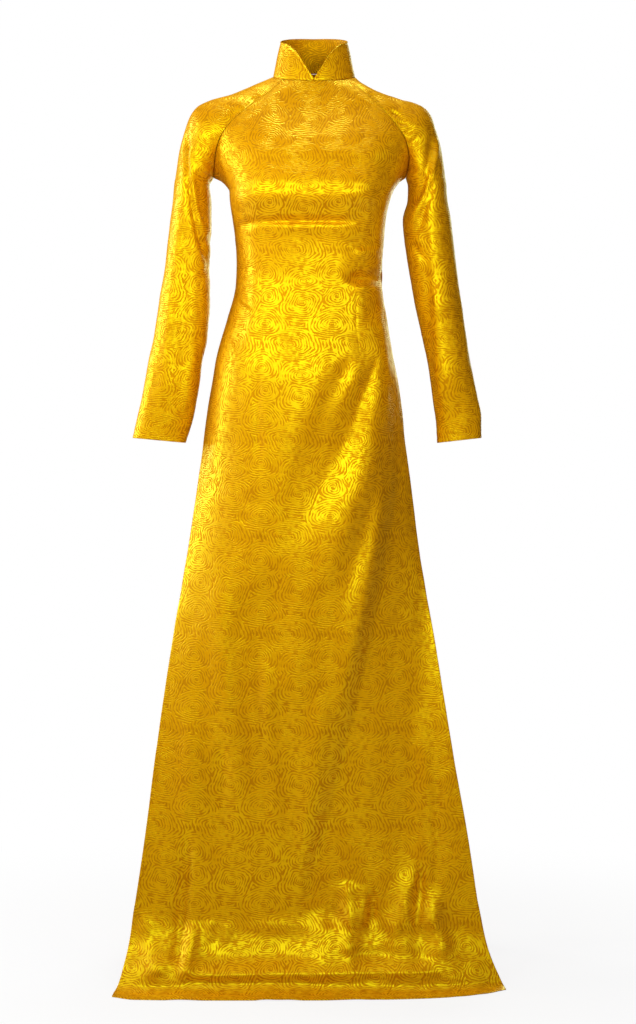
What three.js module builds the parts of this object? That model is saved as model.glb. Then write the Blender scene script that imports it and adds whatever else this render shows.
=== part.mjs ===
// Ao dai: a long raglan-sleeved gown of satin brocade, in the hollow form that it has when worn.
// Millimetres. +X is the wearer's left, -Y the front, +Z up. The origin is the middle of the neck
// base, level with the sides of the neck. "left" and "right" in names are as seen from the front.
import * as THREE from "three";

// ---- Driving dimensions ----

const CLOTH_WALL = 1.2; // brocade with its turned allowances
const COLLAR_WALL = 2; // two layers of brocade on a stiff interlining
const SEAM_GAP = 0.3; // between two pieces that are sewn together
const INNER_EASE = 0.5; // more room on the inner face, where two walls lean together
const FLOOR_Z = -1418; // level that the long skirt panels lie on

const NECK_HALF_WIDTH = 66;
const NECK_FRONT_RADIUS = 52;
const NECK_BACK_RADIUS = 55;
const NECK_MID_Z = 1.5; // the neck line leans forward: low in front, high behind
const NECK_LEAN_Z = 13.5;
const RAGLAN_FRONT_ANGLE = Math.asin(50 / NECK_HALF_WIDTH); // round the neck, from the centre front
const RAGLAN_BACK_ANGLE = Math.PI - Math.asin(42 / NECK_HALF_WIDTH);

const UNDERARM_Z = -160;
const BREAK_Z = -1290; // below this the panels buckle and run out over the floor

const YOKE_ROWS = 9; // grid rows from the neck line to the underarm
const FRONT_COLUMNS = 24;
const BACK_COLUMNS = 18;
const SLEEVE_COLUMNS = 16;
const COLLAR_ROWS = 3;

const SATIN = { color: 0xe0a80f, roughness: 0.38, metalness: 0.25 };
const SHADED_SATIN = { color: 0xd09a0c, roughness: 0.42, metalness: 0.25 };

// ---- Tables ----

const table = (columns, rows) =>
  rows.map((row) => Object.fromEntries(columns.map((name, i) => [name, row[i]])));

// Front raglan seam, from the neck line (0) to the underarm (1). The sleeve leaves it in the
// direction out (from the middle), fore (to the front) and rise (up).
const FRONT_RAGLAN = table(
  ["down", "x_left", "z_left", "x_right", "z_right", "y", "out", "fore", "rise"],
  [
    [0.0, -50, -7.3, 50, -7.3, -33.9, 0.73, -0.66, 0.17],
    [0.12, -70, -28, 70, -22, -44, 0.62, -0.6, 0.5],
    [0.25, -94, -46, 90, -38, -51, 0.6, -0.52, 0.6],
    [0.4, -114, -62, 114, -63, -56, 0.66, -0.4, 0.6],
    [0.58, -138, -86, 134, -88, -57, 0.82, -0.12, 0.5],
    [0.74, -152, -112, 146, -110, -49, 0.9, 0.35, 0.2],
    [0.88, -158, -139, 151, -135, -29, 0.55, 0.8, 0.05],
    [1.0, -160.5, -160, 147, -160, 4, 0, 1, 0],
  ],
);

const BACK_RAGLAN = table(
  ["down", "x_left", "z_left", "x_right", "z_right", "y", "out", "fore", "rise"],
  [
    [0.0, -42, 11.9, 42, 11.9, 42.4, 0.8, 0.55, -0.2],
    [0.15, -62, -13, 62, -13, 62, 0.62, 0.6, 0.5],
    [0.3, -84, -38, 82, -38, 76, 0.6, 0.5, 0.62],
    [0.45, -107, -62, 103, -62, 83, 0.66, 0.4, 0.62],
    [0.6, -129, -88, 123, -88, 80, 0.8, 0.1, 0.55],
    [0.75, -147, -114, 139, -113, 66, 0.9, -0.3, 0.3],
    [0.88, -157, -139, 147, -137, 40, 0.55, -0.8, 0.05],
    [1.0, -160.5, -160, 147, -160, 4, 0, -1, 0],
  ],
);

// Crest of the shoulder and outer arm, along the middle of the sleeve cap.
const SHOULDER = table(
  ["down", "x_left", "z_left", "x_right", "z_right", "y"],
  [
    [0.0, -66, 1.5, 66, 1.5, 0],
    [0.1, -91, -9, 85, -16, 2],
    [0.2, -114, -20, 106, -27, 3],
    [0.32, -142, -30, 134, -35, 4],
    [0.44, -168, -37, 160, -40, 5],
    [0.54, -187, -46, 176, -47, 6],
    [0.62, -197, -59, 187, -60, 6],
    [0.72, -206, -81, 195, -82, 6],
    [0.85, -215, -115, 204, -115, 6],
    [1.0, -222, -163, 210, -160, 6],
  ],
);

// Middle lines of the two panels above the underarm. reach is how much of the rounded section the
// panel covers: 1 turns square to the side, less stays open to the front or back.
const FRONT_YOKE = table(
  ["down", "z", "y", "reach", "power"],
  [
    [0.0, -12, -52, 0.6, 2.2],
    [0.12, -30, -58, 0.62, 2.2],
    [0.3, -58, -70, 0.66, 2.2],
    [0.5, -88, -87, 0.74, 2.3],
    [0.7, -116, -104, 0.85, 2.3],
    [0.86, -139, -116, 0.95, 2.4],
    [1.0, -160, -123, 1, 2.5],
  ],
);

const BACK_YOKE = table(
  ["down", "z", "y", "reach", "power"],
  [
    [0.0, 15, 55, 0.6, 2.2],
    [0.12, -8, 64, 0.62, 2.2],
    [0.3, -42, 80, 0.66, 2.2],
    [0.5, -76, 93, 0.75, 2.2],
    [0.7, -110, 101, 0.86, 2.15],
    [0.86, -137, 104, 0.95, 2.2],
    [1.0, -160, 104, 1, 2.3],
  ],
);

// Body from the underarm to the break: the outline's two sides, the depth at the middle of each
// panel, and the depth of each panel's edge. Above SLIT_Z the two edges are the one side seam.
const BODY = table(
  [
    "z", "left", "right", "front", "back", "front_edge", "back_edge",
    "front_power", "back_power", "front_reach", "back_reach",
  ],
  [
    [-160, -160.5, 147, -123, 104, 4, 4, 2.5, 2.3, 1, 1],
    [-168, -143, 134, -125, 104, 4, 4, 2.8, 2.35, 1, 1],
    [-179, -135, 128, -127, 103, 4, 4, 3.2, 2.5, 1, 1],
    [-195, -134, 122, -127, 102, 4, 4, 3.2, 2.5, 1, 1],
    [-227, -130, 115, -116, 98, 3, 3, 2.9, 2.5, 1, 1],
    [-259, -126, 112, -104, 91, 2, 2, 2.6, 2.4, 1, 1],
    [-300, -123.5, 109, -93, 81, 0, 0, 2.4, 2.4, 1, 1],
    [-331, -125, 109, -89, 77, 0, 0, 2.3, 2.4, 1, 1],
    [-387, -139, 117, -97, 95, 2, 2, 2.3, 2.4, 1, 1],
    [-455, -157.5, 128.5, -107, 118, 3, 3, 2.3, 2.4, 1, 1],
    [-483, -162, 134, -111, 123, -4, 12, 2.2, 2.3, 0.97, 0.97],
    [-515, -167.5, 139, -113, 126, -10, 22, 2.2, 2.3, 0.94, 0.94],
    [-595, -178, 148, -116, 130, -25, 40, 2.2, 2.2, 0.9, 0.9],
    [-753, -199, 168, -119, 132, -48, 68, 2.1, 2.2, 0.85, 0.85],
    [-908, -225, 193, -121, 134, -72, 90, 2.1, 2.1, 0.8, 0.8],
    [-1062, -246, 216, -122, 136, -93, 106, 2.1, 2.1, 0.78, 0.78],
    [-1214, -265, 242, -121, 139, -110, 116, 2.1, 2.1, 0.76, 0.76],
    [-1290, -276, 253, -120, 141, -118, 120, 2.1, 2.1, 0.75, 0.75],
  ],
);
const SLIT_Z = -455;

// How the long panels buckle at the floor, down the middle from BREAK_Z to the hem: how far the
// cloth has run out from where it hung, its height over the floor and how much wider it has grown.
const BREAK_COLUMNS = ["run", "out", "lift", "flare_left", "flare_right"];
const FRONT_BREAK = table(BREAK_COLUMNS, [
  [0, 0, 128, 0, 0],
  [1, 2, 104, 4, 5],
  [2, 9, 78, 7, 10],
  [3, 26, 54, 11, 16],
  [4, 46, 33, 16, 24],
  [5, 58, 17, 20, 31],
  [6, 66, 6, 24, 36],
  [7, 80, 1.4, 27, 39],
  [8, 115, 1.3, 28, 40],
]);

const BACK_BREAK = table(BREAK_COLUMNS, [
  [0, 0, 128, 0, 0],
  [1, 7, 92, 5, 5],
  [2, 22, 58, 9, 10],
  [3, 42, 28, 13, 14],
  [4, 62, 8, 16, 18],
  [5, 82, 1.4, 19, 21],
  [6, 122, 1.3, 21, 23],
]);

// Where along the hem the break stands higher: place across, half-width and share of the lift.
const HEM_PEAKS = table(
  ["across", "spread", "raise"],
  [
    [-0.72, 0.12, 0.25],
    [0.13, 0.14, 0.55],
    [0.52, 0.1, 0.6],
    [0.72, 0.08, 0.45],
  ],
);

// How much of the run-out each place across the hem takes.
const HEM_REACH = table(
  ["across", "front_share", "back_share"],
  [
    [-1, 0.83, 0.7],
    [-0.88, 0.98, 0.85],
    [0, 1, 1],
    [0.3, 0.97, 1],
    [0.85, 0.72, 0.9],
    [1, 0.46, 0.75],
  ],
);

// Largest folds: a smooth line through three points on the panel, seen from its own side, with the
// half-width and depth of the fold. A negative depth is a ridge.
const FOLD_STEPS = 24;
const FOLD_COLUMNS = ["x1", "z1", "x2", "z2", "x3", "z3", "spread", "depth"];
const FRONT_FOLDS = table(FOLD_COLUMNS, [
  [126, -480, 100, -815, -15, -1300, 26, 9],
  [56, -443, 25, -517, -22, -618, 14, 3],
  [95, -451, 68, -510, 41, -564, 12, 3],
  [110, -471, 62, -600, -6, -734, 16, -3],
  [-84, -246, 0, -250, 87, -246, 9, 4],
  [-80, -262, 10, -262, 99, -258, 9, -3],
]);
const BACK_FOLDS = table(FOLD_COLUMNS, [
  [-60, -470, -75, -800, -100, -1250, 24, 7],
  [70, -480, 95, -860, 120, -1270, 26, 8],
  [-85, -330, 0, -338, 80, -328, 12, 3],
]);

// Sleeve rings below the underarm, from the outer to the inner side, with the arm's middle and
// half its depth from front to back.
const SLEEVE_RINGS = table(
  ["z", "outer_left", "inner_left", "inner_right", "outer_right", "y", "half_depth"],
  [
    [-160, -222, -160.5, 147, 210, 4, 57],
    [-172, -223.5, -166.5, 150.5, 212, 5, 56],
    [-195, -226, -164, 149, 213, 5, 55],
    [-227, -230, -163, 142, 217, 4, 52],
    [-259, -233, -165, 145, 221, 2, 49],
    [-291, -237, -166, 149, 225, 0, 46],
    [-323, -241, -166, 155, 229, -2, 43],
    [-355, -247, -166, 160, 233, -4, 41],
    [-387, -251, -168, 167, 237, -6, 39],
    [-419, -256, -171, 174, 242, -8, 37],
    [-451, -263, -178, 181, 247, -10, 35],
    [-483, -269, -182, 186, 253, -12, 33],
    [-515, -274, -187, 190, 261, -13, 31],
    [-547, -282, -194, 194, 267, -14, 28],
    [-580, -289, -204, 196, 267, -14, 26],
  ],
);
const CUFF_TILT = 4; // the outer side of the cuff is higher than its middle by this

// Collar height by distance round the neck from the centre front, and how it leans in.
const COLLAR_EDGE = table(
  ["from_front", "height", "lean"],
  [
    [0, 4, 0.1],
    [8, 16, 0.12],
    [18, 30, 0.14],
    [28, 42, 0.16],
    [45, 53, 0.19],
    [63, 58, 0.22],
    [110, 58, 0.22],
    [190, 56, 0.12],
  ],
);

// ---- Smooth reading of tables ----

// Reads a column at a key between rows, along a smooth curve that never overshoots the rows.
function read(rows, key, column, at) {
  const sense = Math.sign(rows[rows.length - 1][key] - rows[0][key]);
  const last = rows.length - 1;
  let i = 0;
  while (i < last - 1 && (at - rows[i + 1][key]) * sense > 0) i += 1;
  const step = (n) => rows[n + 1][key] - rows[n][key];
  const slope = (n) => (rows[n + 1][column] - rows[n][column]) / step(n);
  const tangent = (n) => {
    if (n === 0) return slope(0);
    if (n === last) return slope(last - 1);
    const [before, after] = [slope(n - 1), slope(n)];
    if (before * after <= 0) return 0;
    return (step(n - 1) + step(n)) / (step(n) / before + step(n - 1) / after);
  };
  const t = THREE.MathUtils.clamp((at - rows[i][key]) / step(i), 0, 1);
  const [a, b] = [tangent(i) * step(i), tangent(i + 1) * step(i)];
  const [p, q] = [rows[i][column], rows[i + 1][column]];
  return p + t * (a + t * (3 * (q - p) - 2 * a - b + t * (a + b - 2 * (q - p))));
}

const vector = (x, y, z) => new THREE.Vector3(x, y, z);
const fade = (t) => THREE.MathUtils.smoothstep(t, 0, 1);
const hill = (distance, spread) => Math.exp(-((distance / spread) ** 2));

// A curve's points, spread evenly along its length.
function spreadEvenly(points, columns) {
  const curve = new THREE.CurvePath();
  for (let i = 1; i < points.length; i += 1) curve.add(new THREE.LineCurve3(points[i - 1], points[i]));
  return Array.from({ length: columns + 1 }, (_, j) => curve.getPoint(j / columns));
}

// ---- Seam lines that two pieces share ----

function neckPoint(angle) {
  const radius = Math.cos(angle) > 0 ? NECK_FRONT_RADIUS : NECK_BACK_RADIUS;
  return vector(
    NECK_HALF_WIDTH * Math.sin(angle),
    -radius * Math.cos(angle),
    NECK_MID_Z - NECK_LEAN_Z * Math.cos(angle),
  );
}

function seamPoint(rows, side, down) {
  const name = side < 0 ? "left" : "right";
  return vector(
    read(rows, "down", `x_${name}`, down),
    read(rows, "down", "y", down),
    read(rows, "down", `z_${name}`, down),
  );
}

// ---- Panels ----

const SAMPLES = 120;

// Fullness of a rounded section: 0 at the middle of the panel, 1 at its edge.
function roundness(across, reach, power) {
  const height = (t) => Math.max(0, 1 - (reach * t) ** power) ** (1 / power);
  return (1 - height(Math.abs(across))) / (1 - height(1));
}

// Places across a panel from -1 at its left edge to 1 at its right edge, closer at the edges.
const spots = Array.from({ length: SAMPLES + 1 }, (_, i) => Math.sin(Math.PI * (i / SAMPLES - 0.5)));

// One row of a panel above the underarm, from raglan seam to raglan seam.
function yokeRow(panel, down) {
  const left = seamPoint(panel.raglan, -1, down);
  const right = seamPoint(panel.raglan, 1, down);
  const middle = vector(
    ((left.x + right.x) / 2) * fade(down),
    read(panel.yoke, "down", "y", down),
    read(panel.yoke, "down", "z", down),
  );
  const reach = read(panel.yoke, "down", "reach", down);
  const power = read(panel.yoke, "down", "power", down);
  return spots.map((across) => {
    const edge = across < 0 ? left : right;
    const turn = roundness(across, reach, power);
    return vector(
      THREE.MathUtils.lerp(middle.x, edge.x, Math.abs(across)),
      THREE.MathUtils.lerp(middle.y, edge.y, turn),
      THREE.MathUtils.lerp(middle.z, edge.z, across * across),
    );
  });
}

// The neck line itself, and how far the first row has to move to lie on it.
function neckCorrection(panel) {
  const first = yokeRow(panel, 0);
  return spots.map((across, i) => {
    const turn = panel.neckAngle * Math.asin(across) * (2 / Math.PI);
    const angle = panel.facing < 0 ? turn : Math.PI - turn;
    return neckPoint(angle).sub(first[i]);
  });
}

// One row of a panel round the body, at a height between the underarm and the break.
function bodyRow(panel, z) {
  const left = read(BODY, "z", "left", z) + panel.inset(z);
  const right = read(BODY, "z", "right", z) - panel.inset(z);
  const y = read(BODY, "z", panel.name, z);
  const edge = read(BODY, "z", `${panel.name}_edge`, z);
  const reach = read(BODY, "z", `${panel.name}_reach`, z);
  const power = read(BODY, "z", `${panel.name}_power`, z);
  return spots.map((across) =>
    vector(
      THREE.MathUtils.lerp(left, right, (across + 1) / 2),
      THREE.MathUtils.lerp(y, edge, roundness(across, reach, power)),
      z,
    ),
  );
}

// One row of the cloth that buckles and lies out over the floor.
function breakRow(panel, run) {
  const out = read(panel.break, "run", "out", run);
  const lift = read(panel.break, "run", "lift", run);
  const flareLeft = read(panel.break, "run", "flare_left", run);
  const flareRight = read(panel.break, "run", "flare_right", run);
  const settled = fade(run / 3);
  return bodyRow(panel, BREAK_Z).map((point, i) => {
    const across = spots[i];
    const share = read(HEM_REACH, "across", panel.share, across);
    const raise = HEM_PEAKS.reduce(
      (sum, peak) => sum + peak.raise * hill(across * panel.mirror - peak.across, peak.spread),
      0,
    );
    const lifted = lift < 10 ? lift : lift * (1 + raise * settled * 0.6);
    const flare = across < 0 ? flareLeft : flareRight;
    return vector(point.x + flare * across, point.y + panel.facing * out * share, FLOOR_Z + lifted);
  });
}

// The points of a fold's line, close together.
function foldLine(fold) {
  const bend = (from, by, to) => 2 * by - (from + to) / 2;
  const curve = new THREE.QuadraticBezierCurve(
    new THREE.Vector2(fold.x1, fold.z1),
    new THREE.Vector2(bend(fold.x1, fold.x2, fold.x3), bend(fold.z1, fold.z2, fold.z3)),
    new THREE.Vector2(fold.x3, fold.z3),
  );
  return curve.getPoints(FOLD_STEPS);
}

// How deep a fold is at a place on its panel: full in the middle of its line, less at the ends.
function foldDepth(fold, x, z) {
  let nearest = Infinity;
  let along = 0;
  fold.line.forEach((point, i) => {
    const distance = Math.hypot(x - point.x, z - point.y);
    if (distance < nearest) {
      nearest = distance;
      along = i / FOLD_STEPS;
    }
  });
  return fold.depth * hill(nearest, fold.spread) * (0.4 + 0.6 * Math.sin(Math.PI * along));
}

// The whole grid of a panel, row by row from the neck line to the hem, left edge to right edge.
function panelGrid(panel) {
  const correction = neckCorrection(panel);
  const grid = [];
  for (let i = 0; i <= YOKE_ROWS; i += 1) {
    const down = i / YOKE_ROWS;
    const amount = fade(1 - down / 0.35);
    const row = yokeRow(panel, down).map((p, n) => p.addScaledVector(correction[n], amount));
    grid.push(spreadEvenly(row, panel.columns));
  }
  for (const z of panel.levels) grid.push(spreadEvenly(bodyRow(panel, z), panel.columns));
  for (let run = 1; run < panel.break.length; run += 1) {
    grid.push(spreadEvenly(breakRow(panel, run), panel.columns));
  }
  const normals = gridNormals(grid, Infinity);
  const folds = panel.folds.map((fold) => ({ ...fold, line: foldLine(fold) }));
  grid.forEach((row, i) =>
    row.forEach((point, j) => {
      const fromEdge = Math.min(j, panel.columns - j);
      const depth = folds.reduce((sum, fold) => sum + foldDepth(fold, point.x, point.z), 0);
      point.addScaledVector(normals[i][j], -depth * Math.min(1, fromEdge / 2));
    }),
  );
  return grid;
}

// Heights of the grid rows below the underarm. Down the side seam both panels have the same ones.
const SEAM_LEVELS = [-168, -180, -200, -225, -245, -262, -300, -331, -387, SLIT_Z];
const skirtLevels = (first, count) =>
  Array.from({ length: count }, (_, i) => first + ((BREAK_Z - first) * i) / (count - 1));

const frontPanel = {
  name: "front",
  facing: -1,
  mirror: 1,
  raglan: FRONT_RAGLAN,
  yoke: FRONT_YOKE,
  neckAngle: RAGLAN_FRONT_ANGLE,
  break: FRONT_BREAK,
  share: "front_share",
  folds: FRONT_FOLDS,
  columns: FRONT_COLUMNS,
  levels: [...SEAM_LEVELS, -500, -560, ...skirtLevels(-640, 7)],
  inset: () => 0,
};

// The back skirt is cut a little narrower than the front, so the front covers it.
const BACK_INSET = 10;
const backPanel = {
  name: "back",
  facing: 1,
  mirror: -1,
  raglan: BACK_RAGLAN,
  yoke: BACK_YOKE,
  neckAngle: Math.PI - RAGLAN_BACK_ANGLE,
  break: BACK_BREAK,
  share: "back_share",
  folds: BACK_FOLDS,
  columns: BACK_COLUMNS,
  levels: [...SEAM_LEVELS, -520, ...skirtLevels(-640, 6)],
  inset: (z) => BACK_INSET * fade((SLIT_Z - z) / 150),
};

// ---- Sleeves ----

// A row of a sleeve: from one seam over the outer arm to the other, as two smooth quarter turns.
// Each turn leaves its seam toward its own control point and reaches the crest level.
function sleeveRow(front, crest, back) {
  const quarter = (seam) =>
    new THREE.CubicBezierCurve3(seam.point, seam.control, crest.clone().setY(seam.crestY), crest).getPoints(
      SAMPLES / 2,
    );
  return spreadEvenly([...quarter(front), ...quarter(back).reverse().slice(1)], SLEEVE_COLUMNS);
}

// Control depth that carries a quarter turn from the depth of its seam, out to the given depth and
// back to the crest.
const controlDepth = (seamY, crestY, depth) => (8 * depth - seamY - crestY) / 6;

// One end of a cap row. High on the cap the cloth leaves the seam in the panel's own direction.
// Low on it the cloth turns round the front or back of the arm.
function capEnd(rows, side, down, crest) {
  const point = seamPoint(rows, side, down);
  const facing = rows === FRONT_RAGLAN ? -1 : 1;
  const ring = SLEEVE_RINGS[0];
  const armDepth = facing * Math.max(ring.half_depth, facing * (point.y - ring.y) + 2);
  const turnedY = controlDepth(point.y, crest.y, ring.y + armDepth);
  const leave = vector(
    side * read(rows, "down", "out", down),
    -read(rows, "down", "fore", down),
    read(rows, "down", "rise", down),
  );
  const reach = point.distanceTo(crest);
  const flat = point.clone().add(leave.setLength(0.4 * reach));
  const ringLike = fade((down - 0.5) / 0.5);
  return {
    point,
    control: flat.lerp(point.clone().setY(turnedY), ringLike),
    crestY: THREE.MathUtils.lerp(crest.y + facing * 0.42 * reach, turnedY, ringLike),
  };
}

// A row of the cap, between the two raglan seams. Near the neck it lies on the neck line.
function capRow(side, down) {
  const crest = seamPoint(SHOULDER, side, down);
  const front = capEnd(FRONT_RAGLAN, side, down, crest);
  const back = capEnd(BACK_RAGLAN, side, down, crest);
  const onNeck = fade(1 - down / 0.12);
  return sleeveRow(front, crest, back).map((point, j) => {
    const angle = THREE.MathUtils.lerp(RAGLAN_FRONT_ANGLE, RAGLAN_BACK_ANGLE, j / SLEEVE_COLUMNS);
    return point.lerp(neckPoint(side * angle), onNeck);
  });
}

// A closed ring of the sleeve, which starts and ends at the underarm seam.
function ringRow(side, z) {
  const name = side < 0 ? "left" : "right";
  const tilt = (CUFF_TILT * (UNDERARM_Z - z)) / (UNDERARM_Z - SLEEVE_RINGS[SLEEVE_RINGS.length - 1].z);
  const y = read(SLEEVE_RINGS, "z", "y", z);
  const inner = vector(read(SLEEVE_RINGS, "z", `inner_${name}`, z), y, z - tilt);
  const outer = vector(read(SLEEVE_RINGS, "z", `outer_${name}`, z), y, z + tilt);
  const half = read(SLEEVE_RINGS, "z", "half_depth", z);
  const end = (facing) => {
    const turnedY = controlDepth(y, y, y + facing * half);
    return { point: inner, control: inner.clone().setY(turnedY), crestY: turnedY };
  };
  return sleeveRow(end(-1), outer, end(1));
}

function sleeveGrid(side) {
  const grid = [];
  for (let i = 0; i <= YOKE_ROWS; i += 1) grid.push(capRow(side, i / YOKE_ROWS));
  for (const ring of SLEEVE_RINGS.slice(1)) grid.push(ringRow(side, ring.z));
  return grid;
}

// ---- Collar ----

const NECK_STEPS = 400;
const COLLAR_END = 0.4; // half the gap where the two ends meet

// The neck line from the centre front all the way round, at the columns of the pieces below it.
function collarAngles() {
  const stretch = (from, to, count) =>
    Array.from({ length: count }, (_, i) => from + ((to - from) * i) / count);
  const end = COLLAR_END / NECK_HALF_WIDTH;
  return [
    ...stretch(end, RAGLAN_FRONT_ANGLE, FRONT_COLUMNS / 4),
    ...stretch(RAGLAN_FRONT_ANGLE, RAGLAN_BACK_ANGLE, SLEEVE_COLUMNS / 2),
    ...stretch(RAGLAN_BACK_ANGLE, 2 * Math.PI - RAGLAN_BACK_ANGLE, BACK_COLUMNS / 2),
    ...stretch(2 * Math.PI - RAGLAN_BACK_ANGLE, 2 * Math.PI - RAGLAN_FRONT_ANGLE, SLEEVE_COLUMNS / 2),
    ...stretch(2 * Math.PI - RAGLAN_FRONT_ANGLE, 2 * Math.PI - end, FRONT_COLUMNS / 4),
    2 * Math.PI - end,
  ];
}

// Distance round the neck line from the centre front, by the shorter way.
function neckDistance(angle) {
  const turn = Math.min(angle, 2 * Math.PI - angle);
  let length = 0;
  for (let i = 1; i <= NECK_STEPS; i += 1) {
    length += neckPoint((turn * i) / NECK_STEPS).distanceTo(neckPoint((turn * (i - 1)) / NECK_STEPS));
  }
  return length;
}

// Rows from the top edge down to the neck line, as on every other piece.
function collarGrid() {
  const angles = collarAngles();
  const rows = Array.from({ length: COLLAR_ROWS + 1 }, (_, i) => 1 - i / COLLAR_ROWS);
  return rows.map((share) =>
    angles.map((angle) => {
      const base = neckPoint(angle);
      const distance = neckDistance(angle);
      const height = read(COLLAR_EDGE, "from_front", "height", distance);
      const lean = read(COLLAR_EDGE, "from_front", "lean", distance);
      const inward = vector(-base.x, -base.y, 0).normalize();
      const up = vector(0, 0, 1).addScaledVector(inward, lean).normalize();
      return base.addScaledVector(up, SEAM_GAP / 2 + share * height);
    }),
  );
}

// ---- Solids ----

// Outward normals of a grid whose rows run down and whose columns run to the right, seen from
// outside. From row closedFrom on, the last column is the first one again.
function gridNormals(grid, closedFrom) {
  const rows = grid.length - 1;
  const columns = grid[0].length - 1;
  return grid.map((row, i) =>
    row.map((_, j) => {
      const closed = i >= closedFrom;
      const right = closed && j === columns ? row[1] : row[Math.min(j + 1, columns)];
      const left = closed && j === 0 ? row[columns - 1] : row[Math.max(j - 1, 0)];
      const above = grid[Math.max(i - 1, 0)][j];
      const below = grid[Math.min(i + 1, rows)][j];
      const across = right.clone().sub(left);
      const down = below.clone().sub(above);
      return down.cross(across).normalize();
    }),
  );
}

// A closed wall on a grid. Its seam edges are drawn back by half the gap, and more on the inner
// face. closedFrom is the first row that is a whole ring.
function wall(grid, thickness, { closedFrom = Infinity, seams = {}, reversed = false } = {}) {
  const rows = grid.length - 1;
  const columns = grid[0].length - 1;
  const normals = gridNormals(grid, closedFrom);
  if (reversed) normals.forEach((row) => row.forEach((normal) => normal.negate()));
  const drawn = (ease) =>
    grid.map((row, i) =>
      row.map((point, j) => {
        const moved = point.clone();
        const toward = (other, by) => {
          const step = other.clone().sub(point);
          moved.addScaledVector(step.normalize(), by);
        };
        const gap = SEAM_GAP / 2 + ease;
        const onSide = (j === 0 || j === columns) && i <= (seams.sides ?? -1);
        if (onSide && i === YOKE_ROWS) toward(row[columns / 2], 3 * gap);
        else if (onSide) toward(row[j === 0 ? 1 : columns - 1], gap);
        if (i === 0 && seams.top) toward(grid[1][j], gap);
        return moved;
      }),
    );
  const outer = drawn(0);
  const inner = drawn(INNER_EASE).map((row, i) =>
    row.map((point, j) => point.addScaledVector(normals[i][j], -thickness)),
  );

  const positions = [];
  const place = [outer, inner].map((layer) =>
    layer.map((row, i) => {
      const numbers = row.map((point, j) => {
        if (i >= closedFrom && j === columns) return -1;
        positions.push(point.x, point.y, point.z);
        return positions.length / 3 - 1;
      });
      if (i >= closedFrom) numbers[columns] = numbers[0];
      return numbers;
    }),
  );
  const faces = [];
  const quad = (a, b, c, d) => faces.push(a, b, c, a, c, d);
  const [top, bottom] = place;
  for (let i = 0; i < rows; i += 1) {
    for (let j = 0; j < columns; j += 1) {
      // Each cell is split along its shorter diagonal, the same way on both faces.
      const falling = grid[i][j].distanceTo(grid[i + 1][j + 1]);
      const rising = grid[i + 1][j].distanceTo(grid[i][j + 1]);
      const cell = (at) => [at[i][j], at[i + 1][j], at[i + 1][j + 1], at[i][j + 1]];
      const [a, b, c, d] = cell(top);
      const [e, f, g, h] = cell(bottom);
      if (falling < rising) {
        quad(a, b, c, d);
        quad(g, f, e, h);
      } else {
        quad(b, c, d, a);
        quad(h, g, f, e);
      }
    }
    if (i < closedFrom) {
      quad(bottom[i][0], bottom[i + 1][0], top[i + 1][0], top[i][0]);
      quad(top[i][columns], top[i + 1][columns], bottom[i + 1][columns], bottom[i][columns]);
    }
  }
  for (let j = 0; j < columns; j += 1) {
    quad(top[0][j + 1], bottom[0][j + 1], bottom[0][j], top[0][j]);
    quad(top[rows][j], bottom[rows][j], bottom[rows][j + 1], top[rows][j + 1]);
  }
  if (reversed) {
    for (let i = 0; i < faces.length; i += 3) [faces[i], faces[i + 1]] = [faces[i + 1], faces[i]];
  }
  const geometry = new THREE.BufferGeometry();
  geometry.setAttribute("position", new THREE.Float32BufferAttribute(positions, 3));
  geometry.setIndex(faces);
  geometry.computeVertexNormals();
  return geometry;
}

// ---- The gown ----

function piece(name, geometry, look) {
  const mesh = new THREE.Mesh(geometry, new THREE.MeshStandardMaterial(look));
  mesh.name = name;
  return mesh;
}

const sideRows = (panel) => YOKE_ROWS + panel.levels.indexOf(SLIT_Z) + 1;

const front = wall(panelGrid(frontPanel), CLOTH_WALL, {
  seams: { sides: sideRows(frontPanel), top: true },
});
const back = wall(panelGrid(backPanel), CLOTH_WALL, {
  seams: { sides: sideRows(backPanel), top: true },
  reversed: true,
});
const sleeveOptions = { closedFrom: YOKE_ROWS, seams: { sides: YOKE_ROWS, top: true } };
const leftSleeve = wall(sleeveGrid(-1), CLOTH_WALL, { ...sleeveOptions, reversed: true });
const rightSleeve = wall(sleeveGrid(1), CLOTH_WALL, sleeveOptions);
const collar = wall(collarGrid(), COLLAR_WALL);

const gown = new THREE.Group();
gown.add(
  piece("front_panel", front, SATIN),
  piece("back_panel", back, SATIN),
  piece("sleeve_left", leftSleeve, SATIN),
  piece("sleeve_right", rightSleeve, SATIN),
  piece("collar", collar, SHADED_SATIN),
);

export default gown;
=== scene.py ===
"""Looks of the ao dai gown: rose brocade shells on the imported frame, stitches, and a plain studio.

Tables are in millimetres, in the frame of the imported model: +X is the wearer's left, -Y the front
and +Z up. Meshes are in metres. "left" and "right" in names are as seen from the front.
"""

import math
from dataclasses import dataclass

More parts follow.
